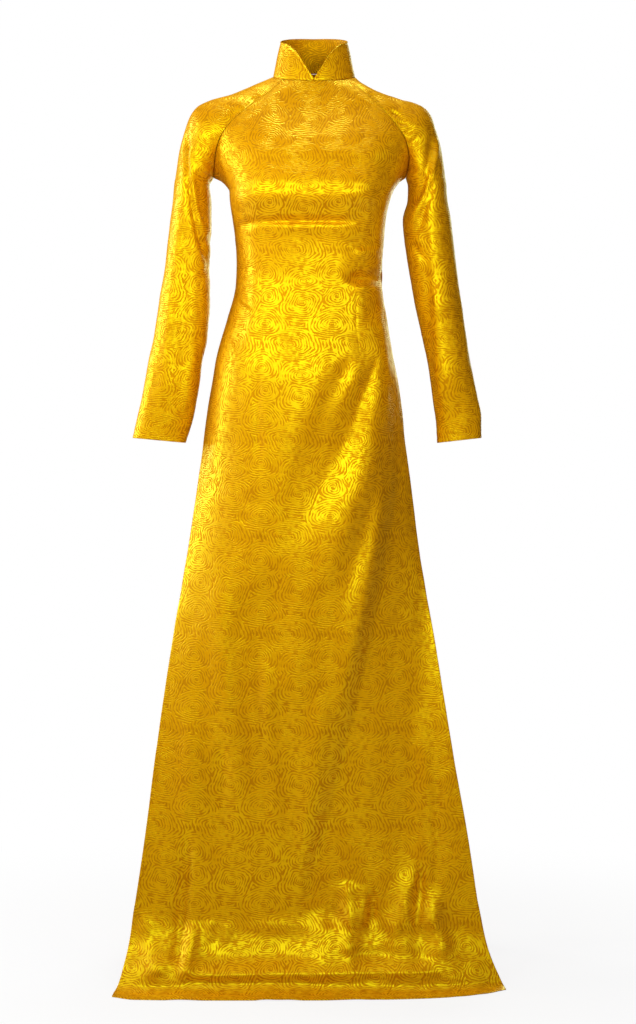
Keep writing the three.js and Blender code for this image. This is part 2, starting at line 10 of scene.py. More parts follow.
import bpy
import numpy as np
from bpy.props import FloatProperty, FloatVectorProperty, PointerProperty
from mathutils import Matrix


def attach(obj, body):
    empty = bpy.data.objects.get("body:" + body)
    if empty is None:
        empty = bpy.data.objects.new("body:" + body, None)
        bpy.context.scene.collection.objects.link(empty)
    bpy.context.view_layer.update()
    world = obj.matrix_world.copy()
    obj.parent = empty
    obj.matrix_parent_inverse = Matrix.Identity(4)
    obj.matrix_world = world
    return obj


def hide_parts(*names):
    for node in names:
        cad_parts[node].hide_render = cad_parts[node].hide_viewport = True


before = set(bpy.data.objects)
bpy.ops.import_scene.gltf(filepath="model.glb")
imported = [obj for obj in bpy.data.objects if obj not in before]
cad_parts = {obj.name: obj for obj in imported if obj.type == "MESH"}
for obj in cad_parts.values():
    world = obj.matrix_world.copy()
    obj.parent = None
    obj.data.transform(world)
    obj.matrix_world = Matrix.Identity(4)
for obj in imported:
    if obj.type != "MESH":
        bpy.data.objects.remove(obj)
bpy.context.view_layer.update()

bl_info = {
    "name": "Ao dai gown",
    "version": (1, 0, 0),
    "blender": (4, 5, 0),
    "location": "3D View > Sidebar > Gown",
    "description": "Dresses a packed ao dai gown in rose brocade and sets it in a plain studio",
    "category": "Object",
}

MM = 0.001

# ---- Sizes shared with the solids ----

FLOOR_Z = -1418
NECK_HALF_WIDTH = 66
NECK_FRONT_RADIUS = 52
NECK_BACK_RADIUS = 55
NECK_MID_Z = 1.5  # height of the neck line at its sides
NECK_LEAN_Z = 13.5  # how much lower it is in front, and higher at the back
RAGLAN_FRONT_ANGLE = math.asin(50 / NECK_HALF_WIDTH)  # round the neck, from the centre front
RAGLAN_BACK_ANGLE = math.pi - math.asin(42 / NECK_HALF_WIDTH)
UNDERARM_Z = -160
SLIT_Z = -455
BREAK_Z = -1290  # below this the panels buckle and run out over the floor
CUFF_TILT = 4  # how far a cuff's outer side is over its middle, and its inner side under it
BACK_INSET = 10  # how far the edges of the back skirt lie inside the front's
SEAM_GAP = 0.3  # between two pieces that meet at a seam
COLLAR_END = 0.4  # half the gap where the two ends of the collar meet


def table(columns, rows):
    """Named columns of numbers, with one row for each section, fold or crease."""
    return dict(zip(columns.split(), np.array(rows, float).T))


def table_rows(columns):
    """The rows of a table, each as a dictionary of its columns."""
    names = list(columns)
    return [dict(zip(names, values)) for values in zip(*columns.values())]


# Front raglan seam, from the neck line (0) to the underarm (1). The sleeve leaves it in the
# direction out (from the middle), fore (to the front) and rise (up).
RAGLAN_COLUMNS = "down x_left z_left x_right z_right y out fore rise"
FRONT_RAGLAN = table(RAGLAN_COLUMNS, [
    [0, -50, -7.3, 50, -7.3, -33.9, 0.73, -0.66, 0.17],
    [0.12, -70, -28, 70, -22, -44, 0.62, -0.6, 0.5],
    [0.25, -94, -46, 90, -38, -51, 0.6, -0.52, 0.6],
    [0.4, -114, -62, 114, -63, -56, 0.66, -0.4, 0.6],
    [0.58, -138, -86, 134, -88, -57, 0.82, -0.12, 0.5],
    [0.74, -152, -112, 146, -110, -49, 0.9, 0.35, 0.2],
    [0.88, -158, -139, 151, -135, -29, 0.55, 0.8, 0.05],
    [1, -160.5, -160, 147, -160, 4, 0, 1, 0],
])
BACK_RAGLAN = table(RAGLAN_COLUMNS, [
    [0, -42, 11.9, 42, 11.9, 42.4, 0.8, 0.55, -0.2],
    [0.15, -62, -13, 62, -13, 62, 0.62, 0.6, 0.5],
    [0.3, -84, -38, 82, -38, 76, 0.6, 0.5, 0.62],
    [0.45, -107, -62, 103, -62, 83, 0.66, 0.4, 0.62],
    [0.6, -129, -88, 123, -88, 80, 0.8, 0.1, 0.55],
    [0.75, -147, -114, 139, -113, 66, 0.9, -0.3, 0.3],
    [0.88, -157, -139, 147, -137, 40, 0.55, -0.8, 0.05],
    [1, -160.5, -160, 147, -160, 4, 0, -1, 0],
])

# Crest of the shoulder and outer arm, along the middle of the sleeve cap.
SHOULDER = table("down x_left z_left x_right z_right y", [
    [0, -66, 1.5, 66, 1.5, 0],
    [0.1, -91, -9, 85, -16, 2],
    [0.2, -114, -20, 106, -27, 3],
    [0.32, -142, -30, 134, -35, 4],
    [0.44, -168, -37, 160, -40, 5],
    [0.54, -187, -46, 176, -47, 6],
    [0.62, -197, -59, 187, -60, 6],
    [0.72, -206, -81, 195, -82, 6],
    [0.85, -215, -115, 204, -115, 6],
    [1, -222, -163, 210, -160, 6],
])

# Middle lines of the two panels above the underarm. reach is how much of the rounded section the
# panel covers: 1 turns square to the side, less stays open to the front or back.
YOKE_COLUMNS = "down z y reach power"
FRONT_YOKE = table(YOKE_COLUMNS, [
    [0, -12, -52, 0.6, 2.2],
    [0.12, -30, -58, 0.62, 2.2],
    [0.3, -58, -70, 0.66, 2.2],
    [0.5, -88, -87, 0.74, 2.3],
    [0.7, -116, -104, 0.85, 2.3],
    [0.86, -139, -116, 0.95, 2.4],
    [1, -160, -123, 1, 2.5],
])
BACK_YOKE = table(YOKE_COLUMNS, [
    [0, 15, 55, 0.6, 2.2],
    [0.12, -8, 64, 0.62, 2.2],
    [0.3, -42, 80, 0.66, 2.2],
    [0.5, -76, 93, 0.75, 2.2],
    [0.7, -110, 101, 0.86, 2.15],
    [0.86, -137, 104, 0.95, 2.2],
    [1, -160, 104, 1, 2.3],
])

# Body from the underarm to the break: the outline's two sides, the depth at the middle of each
# panel, and the depth of each panel's edge. Above SLIT_Z the two edges are the one side seam. power
# is how full the rounded section is, and open how far its edges stay from turning square.
BODY = table(
    "z left right front back front_edge back_edge"
    " front_power back_power front_open back_open",
    [
        [-160, -160.5, 147, -123, 104, 4, 4, 2.5, 2.3, 0, 0],
        [-168, -143, 134, -125, 104, 4, 4, 2.8, 2.35, 0, 0],
        [-179, -135, 128, -127, 103, 4, 4, 3.2, 2.5, 0, 0],
        [-195, -134, 122, -127, 102, 4, 4, 3.2, 2.5, 0, 0],
        [-227, -130, 115, -116, 98, 3, 3, 2.9, 2.5, 0, 0],
        [-259, -126, 112, -104, 91, 2, 2, 2.6, 2.4, 0, 0],
        [-300, -123.5, 109, -93, 81, 0, 0, 2.4, 2.4, 0, 0],
        [-331, -125, 109, -89, 77, 0, 0, 2.3, 2.4, 0, 0],
        [-387, -139, 117, -97, 95, 2, 2, 2.3, 2.4, 0, 0],
        [-455, -157.5, 128.5, -107, 118, 3, 3, 2.3, 2.4, 0, 0],
        [-483, -162, 134, -111, 123, -4, 12, 2.2, 2.3, 0.05, 0.04],
        [-515, -167.5, 139, -113, 126, -10, 22, 2.2, 2.3, 0.14, 0.13],
        [-595, -178, 148, -116, 130, -25, 40, 2.2, 2.2, 0.36, 0.36],
        [-753, -199, 168, -119, 132, -48, 68, 2.1, 2.2, 0.53, 0.53],
        [-908, -225, 193, -121, 134, -72, 90, 2.1, 2.1, 0.62, 0.61],
        [-1062, -246, 216, -122, 136, -93, 106, 2.1, 2.1, 0.65, 0.65],
        [-1214, -265, 242, -121, 139, -110, 116, 2.1, 2.1, 0.67, 0.67],
        [-1290, -276, 253, -120, 141, -118, 120, 2.1, 2.1, 0.68, 0.68],
    ],
)

# How the long panels buckle at the floor, down the middle from BREAK_Z to the hem: how far the
# cloth has run out from where it hung, its height over the floor and how much wider it has grown.
BREAK_COLUMNS = "run out lift flare_left flare_right"
FRONT_BREAK = table(BREAK_COLUMNS, [
    [0, 0, 128, 0, 0],
    [1, 2, 104, 4, 5],
    [2, 9, 78, 7, 10],
    [3, 26, 54, 11, 16],
    [4, 46, 33, 16, 24],
    [5, 58, 17, 20, 31],
    [6, 66, 6, 24, 36],
    [7, 80, 1.4, 27, 39],
    [8, 115, 1.3, 28, 40],
])
BACK_BREAK = table(BREAK_COLUMNS, [
    [0, 0, 128, 0, 0],
    [1, 7, 92, 5, 5],
    [2, 22, 58, 9, 10],
    [3, 42, 28, 13, 14],
    [4, 62, 8, 16, 18],
    [5, 82, 1.4, 19, 21],
    [6, 122, 1.3, 21, 23],
])

# Where along the hem the break stands higher, as seen from outside a panel: place across,
# half-width and share of the lift.
HEM_PEAKS = table("across spread raise", [
    [-0.72, 0.12, 0.25],
    [0.13, 0.14, 0.55],
    [0.52, 0.1, 0.6],
    [0.72, 0.08, 0.45],
])

# How much of the run-out each place across the hem takes.
HEM_REACH = table("across front_share back_share", [
    [-1, 0.83, 0.7],
    [-0.88, 0.98, 0.85],
    [0, 1, 1],
    [0.3, 0.97, 1],
    [0.85, 0.72, 0.9],
    [1, 0.46, 0.75],
])

# Sleeve rings below the underarm, from the outer to the inner side, with the arm's middle and
# half its depth from front to back.
SLEEVE_RINGS = table("z outer_left inner_left inner_right outer_right y half_depth", [
    [-160, -222, -160.5, 147, 210, 4, 57],
    [-172, -223.5, -166.5, 150.5, 212, 5, 56],
    [-195, -226, -164, 149, 213, 5, 55],
    [-227, -230, -163, 142, 217, 4, 52],
    [-259, -233, -165, 145, 221, 2, 49],
    [-291, -237, -166, 149, 225, 0, 46],
    [-323, -241, -166, 155, 229, -2, 43],
    [-355, -247, -166, 160, 233, -4, 41],
    [-387, -251, -168, 167, 237, -6, 39],
    [-419, -256, -171, 174, 242, -8, 37],
    [-451, -263, -178, 181, 247, -10, 35],
    [-483, -269, -182, 186, 253, -12, 33],
    [-515, -274, -187, 190, 261, -13, 31],
    [-547, -282, -194, 194, 267, -14, 28],
    [-580, -289, -204, 196, 267, -14, 26],
])

# Collar height by distance round the neck from the centre front, and how it leans in.
COLLAR_EDGE = table("from_front height lean", [
    [0, 4, 0.1],
    [8, 16, 0.12],
    [18, 30, 0.14],
    [28, 42, 0.16],
    [45, 53, 0.19],
    [63, 58, 0.22],
    [110, 58, 0.22],
    [190, 56, 0.12],
])

# ---- Creases, darts and small unevenness, finer than the solids have ----

# Each crease is a smooth line through three places in x and z, laid straight onto its piece. upper is
# its half-width to the left of the way it runs, which is above a line that runs to +X and the +X
# side of one that runs down, and lower is that on the other side. grow is how much wider it ends
# than it starts, head and tail the shares of its length over which it deepens and fades, and a
# negative depth is a ridge.
CREASE_COLUMNS = "x1 z1 x2 z2 x3 z3 upper lower grow head tail depth"
FRONT_CREASES = table(CREASE_COLUMNS, [
    # hollow over the bust, bust line and the cloth drawn in under it
    [-100, -140, 0, -148, 90, -142, 26, 22, 1, 0.3, 0.3, 3],
    [-126, -206, -10, -206, 106, -202, 18, 11, 1, 0.08, 0.1, -3.6],
    [-110, -207, -20, -208, 62, -212, 2.5, 2.5, 1, 0.3, 0.3, -0.8],
    [-124, -239, -5, -241, 108, -240, 25, 38, 1, 0.1, 0.12, 5],
    [-118, -241, -5, -242, 106, -242, 34, 96, 1, 0.2, 0.2, 7],
    [-116, -230, -10, -229, 84, -230, 12, 5, 1, 0.15, 0.3, -3.4],
    [-126, -239.5, -10, -238, 86, -240, 6, 3, 1, 0.1, 0.3, 5.8],
    [-128, -243, -105, -244, -66, -242, 10, 7, 0.5, 0.1, 0.6, 6],
    [-94, -252, -5, -249, 94, -252, 6, 9, 1, 0.35, 0.35, -3.2],
    [42, -268, 72, -267, 102, -257, 5, 7, 1, 0.4, 0.2, 5],
    # short pulls beside the right bust
    [46, -217, 66, -218, 86, -216, 2.6, 2.6, 1, 0.5, 0.2, 2],
    [48, -224.5, 68, -226, 87, -223, 2.6, 2.6, 1, 0.5, 0.2, 2.4],
    [46, -232, 67, -233, 86, -231, 2.6, 2.6, 1, 0.5, 0.2, 2],
    # fuller sides of the bodice in front
    [82, -176, 78, -300, 92, -446, 20, 44, 1, 0.3, 0.3, -6.5],
    [-90, -176, -88, -300, -106, -446, 44, 18, 1, 0.3, 0.3, -3],
    # hollows drawn from the side seams at the waist
    [42, -325, 80, -324, 114, -318, 6, 5, 2.6, 0.35, 0.05, 18],
    [52, -339, 84, -341, 114, -339, 7, 9, 1.2, 0.4, 0.1, -8],
    [76, -370, 94, -375, 116, -377, 12, 16, 1.1, 0.5, 0.1, 6],
    [58, -276, 84, -275, 108, -270, 4, 4, 1.1, 0.4, 0.3, 4.4],
    [56, -288, 82, -286, 110, -281, 5, 5, 1.1, 0.4, 0.3, -4.4],
    [60, -299, 84, -300, 110, -297, 4, 5, 1.1, 0.4, 0.3, 4.4],
    [-126, -302, -100, -308, -66, -310, 6, 7, 1.2, 0.2, 0.6, 2],
    [-126, -344, -111, -360, -92, -380, 4, 5, 1.1, 0.2, 0.5, 4],
    [-126, -354, -108, -371, -86, -388, 4, 4, 1.1, 0.2, 0.5, -3],
    # pulls that fan out from the right hip
    [63, -444, 15, -540, -38, -680, 9, 9, 3.4, 0.2, 0.5, 7],
    [96, -446, 52, -570, -52, -775, 9, 14, 4.2, 0.6, 0.4, 20],
    [99, -444, 82, -495, 46, -572, 5, 5, 2, 0.2, 0.5, 4],
    [112, -470, 91, -600, -14, -850, 14, 20, 2, 0.3, 0.25, -9],
    [110, -590, 84, -705, 24, -880, 12, 12, 1.7, 0.4, 0.4, 5],
    [104, -372, 111, -430, 122, -500, 8, 26, 1, 0.3, 0.3, -10],
    # step that turns the right of the skirt away, from the hip to the hem
    [102, -590, 84, -790, -2, -1120, 9, 19, 1.6, 0.25, 0.4, -9],
    [116, -470, 132, -570, 130, -700, 11, 9, 1.5, 0.25, 0.3, 9],
    [131, -620, 98, -860, -22, -1340, 56, 10, 1.4, 0.2, 0.1, 11],
    [142, -470, 170, -800, 140, -1320, 26, 68, 1.6, 0.2, 0.12, 25],
    # left hip and thigh
    [-84, -466, -87, -560, -78, -652, 6, 6, 1.2, 0.3, 0.4, 3],
    [-136, -400, -150, -510, -156, -660, 56, 12, 1.2, 0.3, 0.5, -9],
    [-128, -684, -108, -704, -82, -729, 4, 5, 1.1, 0.4, 0.3, 1.8],
    [-118, -666, -96, -676, -68, -686, 9, 9, 1.2, 0.4, 0.4, 1.6],
    [-106, -706, -91, -718, -74, -728, 4, 4, 1, 0.4, 0.3, -1.8],
    # long soft folds of the skirt
    [-70, -760, -64, -860, -50, -990, 30, 30, 1.1, 0.4, 0.4, 8],
    [-110, -800, -98, -960, -62, -1210, 20, 20, 1.2, 0.25, 0.3, 8],
    [-150, -760, -134, -960, -104, -1230, 20, 22, 1.3, 0.3, 0.3, -6],
    [-74, -900, -71, -1050, -52, -1240, 12, 12, 1.2, 0.3, 0.3, -4.4],
    [-48, -960, -44, -1060, -30, -1240, 13, 13, 1.2, 0.3, 0.3, 5.6],
    [12, -950, 4, -1080, -30, -1280, 14, 16, 1.2, 0.3, 0.3, -6],
    [-138, -1020, -146, -1130, -152, -1260, 11, 11, 1.2, 0.4, 0.3, 5],
    [-196, -960, -192, -1080, -200, -1200, 18, 16, 1.2, 0.4, 0.3, -5],
    [170, -960, 174, -1110, 182, -1280, 10, 12, 1.4, 0.4, 0.2, -6],
    [188, -1080, 192, -1180, 186, -1290, 8, 9, 1.2, 0.4, 0.2, 6],
    # sharp folds that run up from where the cloth breaks at the floor
    [-194, -1180, -204, -1290, -209, -1388, 9, 9, 1.1, 0.3, 0.1, 12],
    [-182, -1322, -189, -1356, -198, -1406, 8, 8, 1.2, 0.3, 0.2, -9],
    [-266, -1300, -252, -1356, -232, -1404, 15, 15, 1.1, 0.3, 0.2, -7],
    [-160, -1318, -161, -1338, -163, -1360, 7, 7, 1, 0.3, 0.4, -5],
    [-134, -1320, -135, -1340, -137, -1360, 7, 7, 1, 0.3, 0.4, -5],
    [50, -1262, 52, -1306, 58, -1398, 14, 14, 1, 0.25, 0.2, -9],
    [92, -1270, 90, -1302, 85, -1338, 8, 8, 1, 0.3, 0.3, 10],
    [156, -1240, 137, -1298, 116, -1348, 13, 14, 1.1, 0.25, 0.25, -9],
    [170, -1230, 163, -1285, 156, -1338, 7, 7, 1.1, 0.3, 0.2, 11],
    [184, -1276, 191, -1326, 208, -1376, 14, 14, 1.1, 0.25, 0.2, -8],
    [30, -1296, 26, -1316, 20, -1336, 8, 8, 1, 0.4, 0.4, 5],
    [-206, -1376, -100, -1374, 30, -1372, 17, 9, 1, 0.2, 0.3, 4.6],
    [10, -1371, 100, -1370, 196, -1374, 11, 10, 1, 0.3, 0.2, 5],
    [-114, -1330, -30, -1331, 48, -1328, 12, 13, 1, 0.3, 0.3, -3],
    [44, -1326, 66, -1320, 90, -1328, 30, 15, 1, 0.35, 0.35, -13],
    [130, -1330, 165, -1318, 200, -1334, 30, 14, 1, 0.3, 0.3, -13],
    [-216, -1395, 0, -1393, 204, -1392, 8, 5, 1, 0.1, 0.1, -5.4],
    [-204, -1404, -80, -1405, 120, -1404, 4, 4, 1, 0.15, 0.3, 3],
])
BACK_CREASES = table(CREASE_COLUMNS, [
    # long folds of the skirt
    [-60, -470, -75, -800, -100, -1250, 24, 24, 1.2, 0.3, 0.3, 8],
    [70, -480, 95, -860, 120, -1270, 28, 26, 1.2, 0.3, 0.3, 9],
    [20, -520, 10, -760, -10, -1060, 26, 26, 1.3, 0.3, 0.4, -4],
    [-130, -640, -150, -880, -170, -1220, 22, 22, 1.4, 0.3, 0.3, -3.6],
    [150, -700, 166, -930, 186, -1240, 22, 22, 1.4, 0.3, 0.3, -3.4],
    [0, -820, 16, -1020, 24, -1270, 18, 22, 1.4, 0.4, 0.3, 3.4],
    [-200, -900, -214, -1080, -226, -1270, 14, 16, 1.4, 0.4, 0.3, 2.6],
    # cloth that gathers in the small of the back
    [-85, -330, 0, -338, 80, -328, 12, 12, 1, 0.3, 0.3, 3.4],
    [-122, -300, -92, -309, -50, -312, 7, 9, 1.3, 0.2, 0.6, 3],
    [-124, -346, -94, -352, -46, -358, 7, 9, 1.3, 0.2, 0.6, 3.2],
    [-120, -322, -90, -327, -52, -330, 6, 6, 1.2, 0.2, 0.6, -1.8],
    [108, -306, 84, -314, 44, -318, 8, 9, 1.3, 0.2, 0.6, 3.2],
    [110, -352, 82, -358, 40, -356, 7, 9, 1.3, 0.2, 0.6, 2.8],
    [108, -328, 84, -333, 48, -335, 6, 6, 1.2, 0.2, 0.6, -1.8],
    [-60, -372, 0, -379, 56, -370, 8, 10, 1, 0.4, 0.4, 2.4],
    # pulls below the shoulder blades and over the hips
    [-118, -196, -84, -214, -46, -224, 9, 9, 1.4, 0.2, 0.7, 2.4],
    [112, -192, 82, -212, 44, -226, 9, 9, 1.4, 0.2, 0.7, 2.4],
    [-140, -430, -120, -490, -84, -560, 7, 8, 2.2, 0.15, 0.6, 3],
    [120, -440, 102, -500, 70, -580, 7, 8, 2.2, 0.15, 0.6, 3.2],
])
LEFT_SLEEVE_CREASES = table(CREASE_COLUMNS, [
    # one long fold from the shoulder to the inner elbow
    [-203, -86, -195, -190, -163, -318, 5, 4, 1.6, 0.15, 0.25, 7.4],
    [-198, -104, -190, -190, -160, -300, 4, 5, 1.4, 0.2, 0.3, -3.5],
    [-188, -128, -176, -200, -170, -240, 9, 9, 1.2, 0.3, 0.4, 4.8],
    [-162, -250, -170, -262, -182, -268, 5, 4, 1, 0.2, 0.5, 2.9],
    [-163, -300, -176, -318, -190, -330, 5, 5, 1.2, 0.2, 0.6, 2.6],
    # soft hollow down the middle of the arm to the cuff
    [-204, -226, -203, -330, -212, -545, 8, 9, 1.3, 0.25, 0.25, 3.2],
    [-226, -330, -232, -430, -246, -540, 9, 9, 1, 0.3, 0.3, -1.9],
    [-186, -420, -196, -480, -206, -548, 8, 8, 1, 0.3, 0.3, -1.9],
    # at the raglan seam and the underarm
    [-108, -56, -124, -66, -140, -92, 5, 5, 1.3, 0.2, 0.5, 2.2],
    [-88, -32, -104, -48, -120, -54, 5, 4, 1.3, 0.2, 0.5, 2.2],
    [-122, -74, -137, -84, -150, -104, 3, 3, 1.2, 0.2, 0.5, 3],
    [-133, -92, -147, -104, -157, -124, 3, 3, 1.2, 0.2, 0.5, 3.2],
    [-140, -112, -152, -122, -162, -140, 3, 3, 1.2, 0.2, 0.5, 3],
    [-96, -44, -112, -52, -128, -74, 4, 4, 1.2, 0.2, 0.5, -2.6],
    [-158, -146, -170, -140, -182, -120, 4, 5, 1.6, 0.1, 0.6, 3.5],
    [-160, -158, -172, -160, -186, -150, 4, 4, 1.6, 0.1, 0.6, 2.6],
])
RIGHT_SLEEVE_CREASES = table(CREASE_COLUMNS, [
    # folds that run down from the shoulder to the inner elbow
    [193, -88, 176, -165, 148, -216, 8, 9, 1.4, 0.15, 0.3, 7.6],
    [196, -92, 184, -166, 142, -250, 4, 5, 1.4, 0.15, 0.3, -4.7],
    [186, -166, 178, -205, 154, -268, 4, 4, 1.5, 0.2, 0.3, 4.3],
    [152, -262, 166, -284, 176, -300, 6, 6, 1.2, 0.2, 0.6, 3.2],
    # long ridge down the arm, from which the outer half falls away
    [181, -150, 188, -280, 197, -400, 30, 8, 1, 0.3, 0.25, -7],
    [193, -320, 201, -440, 210, -562, 30, 10, 1.1, 0.25, 0.35, -11],
    # creases at the sleeve head
    [143, -99, 152, -92, 162, -84, 3.4, 2.6, 1.2, 0.15, 0.5, 4],
    [147, -117, 155, -109, 164, -101, 3.2, 2.6, 1.2, 0.15, 0.5, 3.6],
    [146, -108, 156, -100, 166, -93, 3, 3, 1.2, 0.15, 0.5, -2.2],
    [84, -30, 98, -38, 112, -50, 4, 4, 1.2, 0.2, 0.5, 2.2],
    [120, -62, 132, -66, 148, -82, 3, 3, 1.2, 0.2, 0.5, 3],
    [131, -80, 142, -80, 156, -90, 3, 3, 1.2, 0.2, 0.5, 3],
    [149, -146, 158, -152, 168, -164, 4, 4, 1.5, 0.1, 0.6, 3.2],
])

# Waist darts: their two lines, how far they draw the cloth in and how much cloth each takes up.
DART_COLUMNS = "z x_left x_right pinch_left pinch_right intake"
FRONT_DARTS = table(DART_COLUMNS, [
    [-205, -90, 84, 0, 0, 0],
    [-262, -86, 76, 0.08, 0.25, 5],
    [-325, -82, 67, 0.12, 0.4, 10],
    [-395, -82, 66, 0.12, 0.55, 6],
    [-440, -83, 71, 0.08, 0.4, 2],
    [-468, -84, 72, 0, 0, 0],
])
BACK_DARTS = table(DART_COLUMNS, [
    [-200, -78, 72, 0, 0, 0],
    [-262, -74, 68, 0.3, 0.3, 6],
    [-328, -70, 64, 0.4, 0.4, 12],
    [-400, -72, 66, 0.3, 0.3, 7],
    [-480, -76, 70, 0, 0, 0],
])
CREASE_STEPS = 14
END_WIDTH = 0.55  # width of a crease at its very ends, in shares of its full width

# ---- Grids of the cloth ----

SAMPLES = 240  # points of a row, before its columns are placed
TRIAL_ROWS = 900  # rows tried down a panel, before its rows are placed
CREST_STEPS = 200  # places tried down the crest of a sleeve
SIDE_CELLS = 30  # grid cells across a panel between an edge and a dart
MIDDLE_CELLS = 52
SLEEVE_CELLS = 96
CAP_SPACING = 4.2  # between the rows of a sleeve cap
SLEEVE_SPACING = 4.4  # between the rings below it
COLLAR_CELLS = 260
COLLAR_ROWS = 16
COLLAR_SAMPLES = 2000
HEM_WIDTH = 8.0
DART_LIP = 1.4  # on each side of a dart line, over which it draws the cloth in
SEAM_BAND = (0.0, 0.7, 1.8, 4.0)  # grid lines beside a seam
HEM_BAND = (0.0, 0.7, 1.8, 4.5, HEM_WIDTH - 0.7, HEM_WIDTH + 0.5)  # beside a turned hem
COLLAR_BAND = (0.0, 0.5, 1.2, 2.0, 3.0)  # below the collar's top edge
COLLAR_BAND_SHARE = 0.5  # most of the collar's height that these lines take
LEFT_DART_COLUMN = len(HEM_BAND) + SIDE_CELLS
RIGHT_DART_COLUMN = LEFT_DART_COLUMN + MIDDLE_CELLS + 2
ROW_SPACING = table("z spacing", [
    [0, 5.2],
    [-170, 5.2],
    [-186, 2.8],
    [-272, 2.8],
    [-300, 3.9],
    [-385, 3.9],
    [-420, 5.6],
    [-1240, 5.6],
    [-1290, 3.6],
    [-1420, 3.6],
])

# ---- How one form passes into another: lengths in millimetres, and shares ----

NECK_SHARE = 0.35  # share of the way to the underarm over which a panel leaves the neck line
CAP_NECK_SHARE = 0.12  # the same for the sleeve cap
CAP_TURN = 0.5  # how far down the cap the cloth starts to turn round the arm
CAP_REACH = 0.4  # how far a cap row runs straight on from its seam, in shares of its width
CREST_REACH = 0.42  # the same from the crest of the shoulder
CAP_FULLNESS = 2  # least depth of the cap beyond its seam
INSET_HEIGHT = 150  # under the slit tops, over which the back draws in behind the front
SETTLED_RUN = 3  # place down the break from which the peaks of the hem stand fully
LOW_LIFT = 10  # cloth lower than this over the floor lies flat, without peaks
PEAK_SHARE = 0.6  # how much of its raise in the table a peak takes
SEWN_HEIGHT = 90  # under the slit tops, over which the edges come free to fold
SLIT_END = 12  # over the slit tops, over which a turned edge becomes a seam
SEAM_HOLD = 14  # beside a held edge, over which the folds die out
CAP_HOLD = 6  # the same for the sleeve cap
FLAT_EDGE = 20  # beside a held edge, over which the unevenness dies out
CAP_FLAT_EDGE = 14
HANG_HEIGHT = 120  # over the hem, above which folds push straight to the front or back
SKIRT_TOP_Z = -470  # the skirt's own unevenness starts here and is full SKIRT_HEIGHT lower
SKIRT_HEIGHT = 200
UNDERARM_EASE = 16  # above, below and beside the underarm, where a panel's bend is rounded
EASE_ROUNDS = 14  # how many times it is rounded
EASE_SHARE = 0.9  # how far each time, on the way to the middle of the rows beside it
FLOOR_GAP = 0.05  # least room between the cloth and the floor
PATTERN_WAIST_Z = -300  # height at which the pattern's place on a panel is set

# Unevenness of the cloth: depth, wavelength and how much longer it is down the cloth than across.
PANEL_RIPPLE = (0.35, 46, 1.8)
SKIRT_RIPPLE = (0.8, 120, 3.0)
SLEEVE_RIPPLE = (0.3, 34, 2.0)
COLLAR_RIPPLE = (0.25, 40, 1.0)
PUCKER_RIPPLE = (1.0, 13, 1.0)
PUCKER_START = 2  # the puckers grow over this distance from the seam
RIPPLE_WAVES = 16
RIPPLE_PITCHES = (0.6, 1.6)  # shortest and longest, in shares of the wavelength
SLEEVE_SEEDS = (21, 31, 35)
COLLAR_SEED = 51

# Sewn and turned lines: depth, distance from the edge and half-width.
SEAM_GROOVE = (0.4, 0, 0.9)
SEAM_PUCKER = (0.22, 3, 5.0)
HEM_ROLL = (0.35, 0, 0.8)
HEM_LINE = (0.28, HEM_WIDTH, 0.9)
COLLAR_FOOT = (0.5, 0, 1.2)
CORD_LINE = (0.35, 3.4, 0.8)
CORD_MIDDLE = 1.2  # distance of the cord from the collar's edge, and its half-width
COLLAR_EDGE_SHARE = 0.55  # thickness of the collar at its edge, in shares of its full thickness
COLLAR_EDGE_WIDTH = 2.5
UNDERARM_SEAM_SHARE = 0.6  # relief of the underarm seam, in shares of the raglan seam's
BEHIND_SHARE = 0.8  # depth of the creases behind a sleeve, in shares of those in front
BEHIND_SHIFT = (2, 9)  # how far they lie out of step with those, inward and down
BEHIND_BEND = 3  # and how far their middles bend out
FRONT_TURN = 1.3  # how quickly the one gives way to the other round the arm
EDGE_SHADE_SPREAD = 2.5  # how far from a seam or hem its line of painted shade fades
SLEEVE_EDGE_SHADE_SPREAD = 2.0
COLLAR_EDGE_SHADE_SPREAD = 1.6

# ---- Smooth reading of tables and lines ----


def fade(t):
    """0 below 0, 1 above 1 and a smooth step between."""
    t = np.clip(t, 0.0, 1.0)
    return t * t * (3.0 - 2.0 * t)


def mix(a, b, t):
    return a + (b - a) * t


def hill(distance, spread):
    return np.exp(-((distance / spread) ** 2))


def read(rows, key, column, at):
    """A column at a key between rows, along a smooth curve that never overshoots the rows."""
    keys, values = rows[key], rows[column]
    if keys[0] > keys[-1]:
        keys, values = keys[::-1], values[::-1]
    steps = np.diff(keys)
    slopes = np.diff(values) / steps
    before, after = slopes[:-1], slopes[1:]
    tangents = np.concatenate([slopes[:1], np.zeros(len(before)), slopes[-1:]])
    same_way = before * after > 0
    mean = (steps[:-1] + steps[1:])[same_way]
    mean /= (steps[1:][same_way] / before[same_way]) + (steps[:-1][same_way] / after[same_way])
    tangents[1:-1][same_way] = mean
    i = np.clip(np.searchsorted(keys, at) - 1, 0, len(steps) - 1)
    t = np.clip((at - keys[i]) / steps[i], 0.0, 1.0)
    a, b = tangents[i] * steps[i], tangents[i + 1] * steps[i]
    rise = values[i + 1] - values[i]
    return values[i] + t * (a + t * (3 * rise - 2 * a - b + t * (a + b - 2 * rise)))


def read_all(rows, key, columns, at):
    """Several columns at a key, read in the same way."""
    return [read(rows, key, column, at) for column in columns.split()]


def distances(points):
    """Distance of each point of a line from its first point."""
    steps = np.linalg.norm(np.diff(points, axis=0), axis=1)
    return np.concatenate([[0.0], np.cumsum(steps)])


def lengths_down(grid):
    """Distance of each place of a grid from the first row, down its own column."""
    steps = np.linalg.norm(np.diff(grid, axis=0), axis=2)
    return np.concatenate([np.zeros((1, grid.shape[1])), np.cumsum(steps, axis=0)])


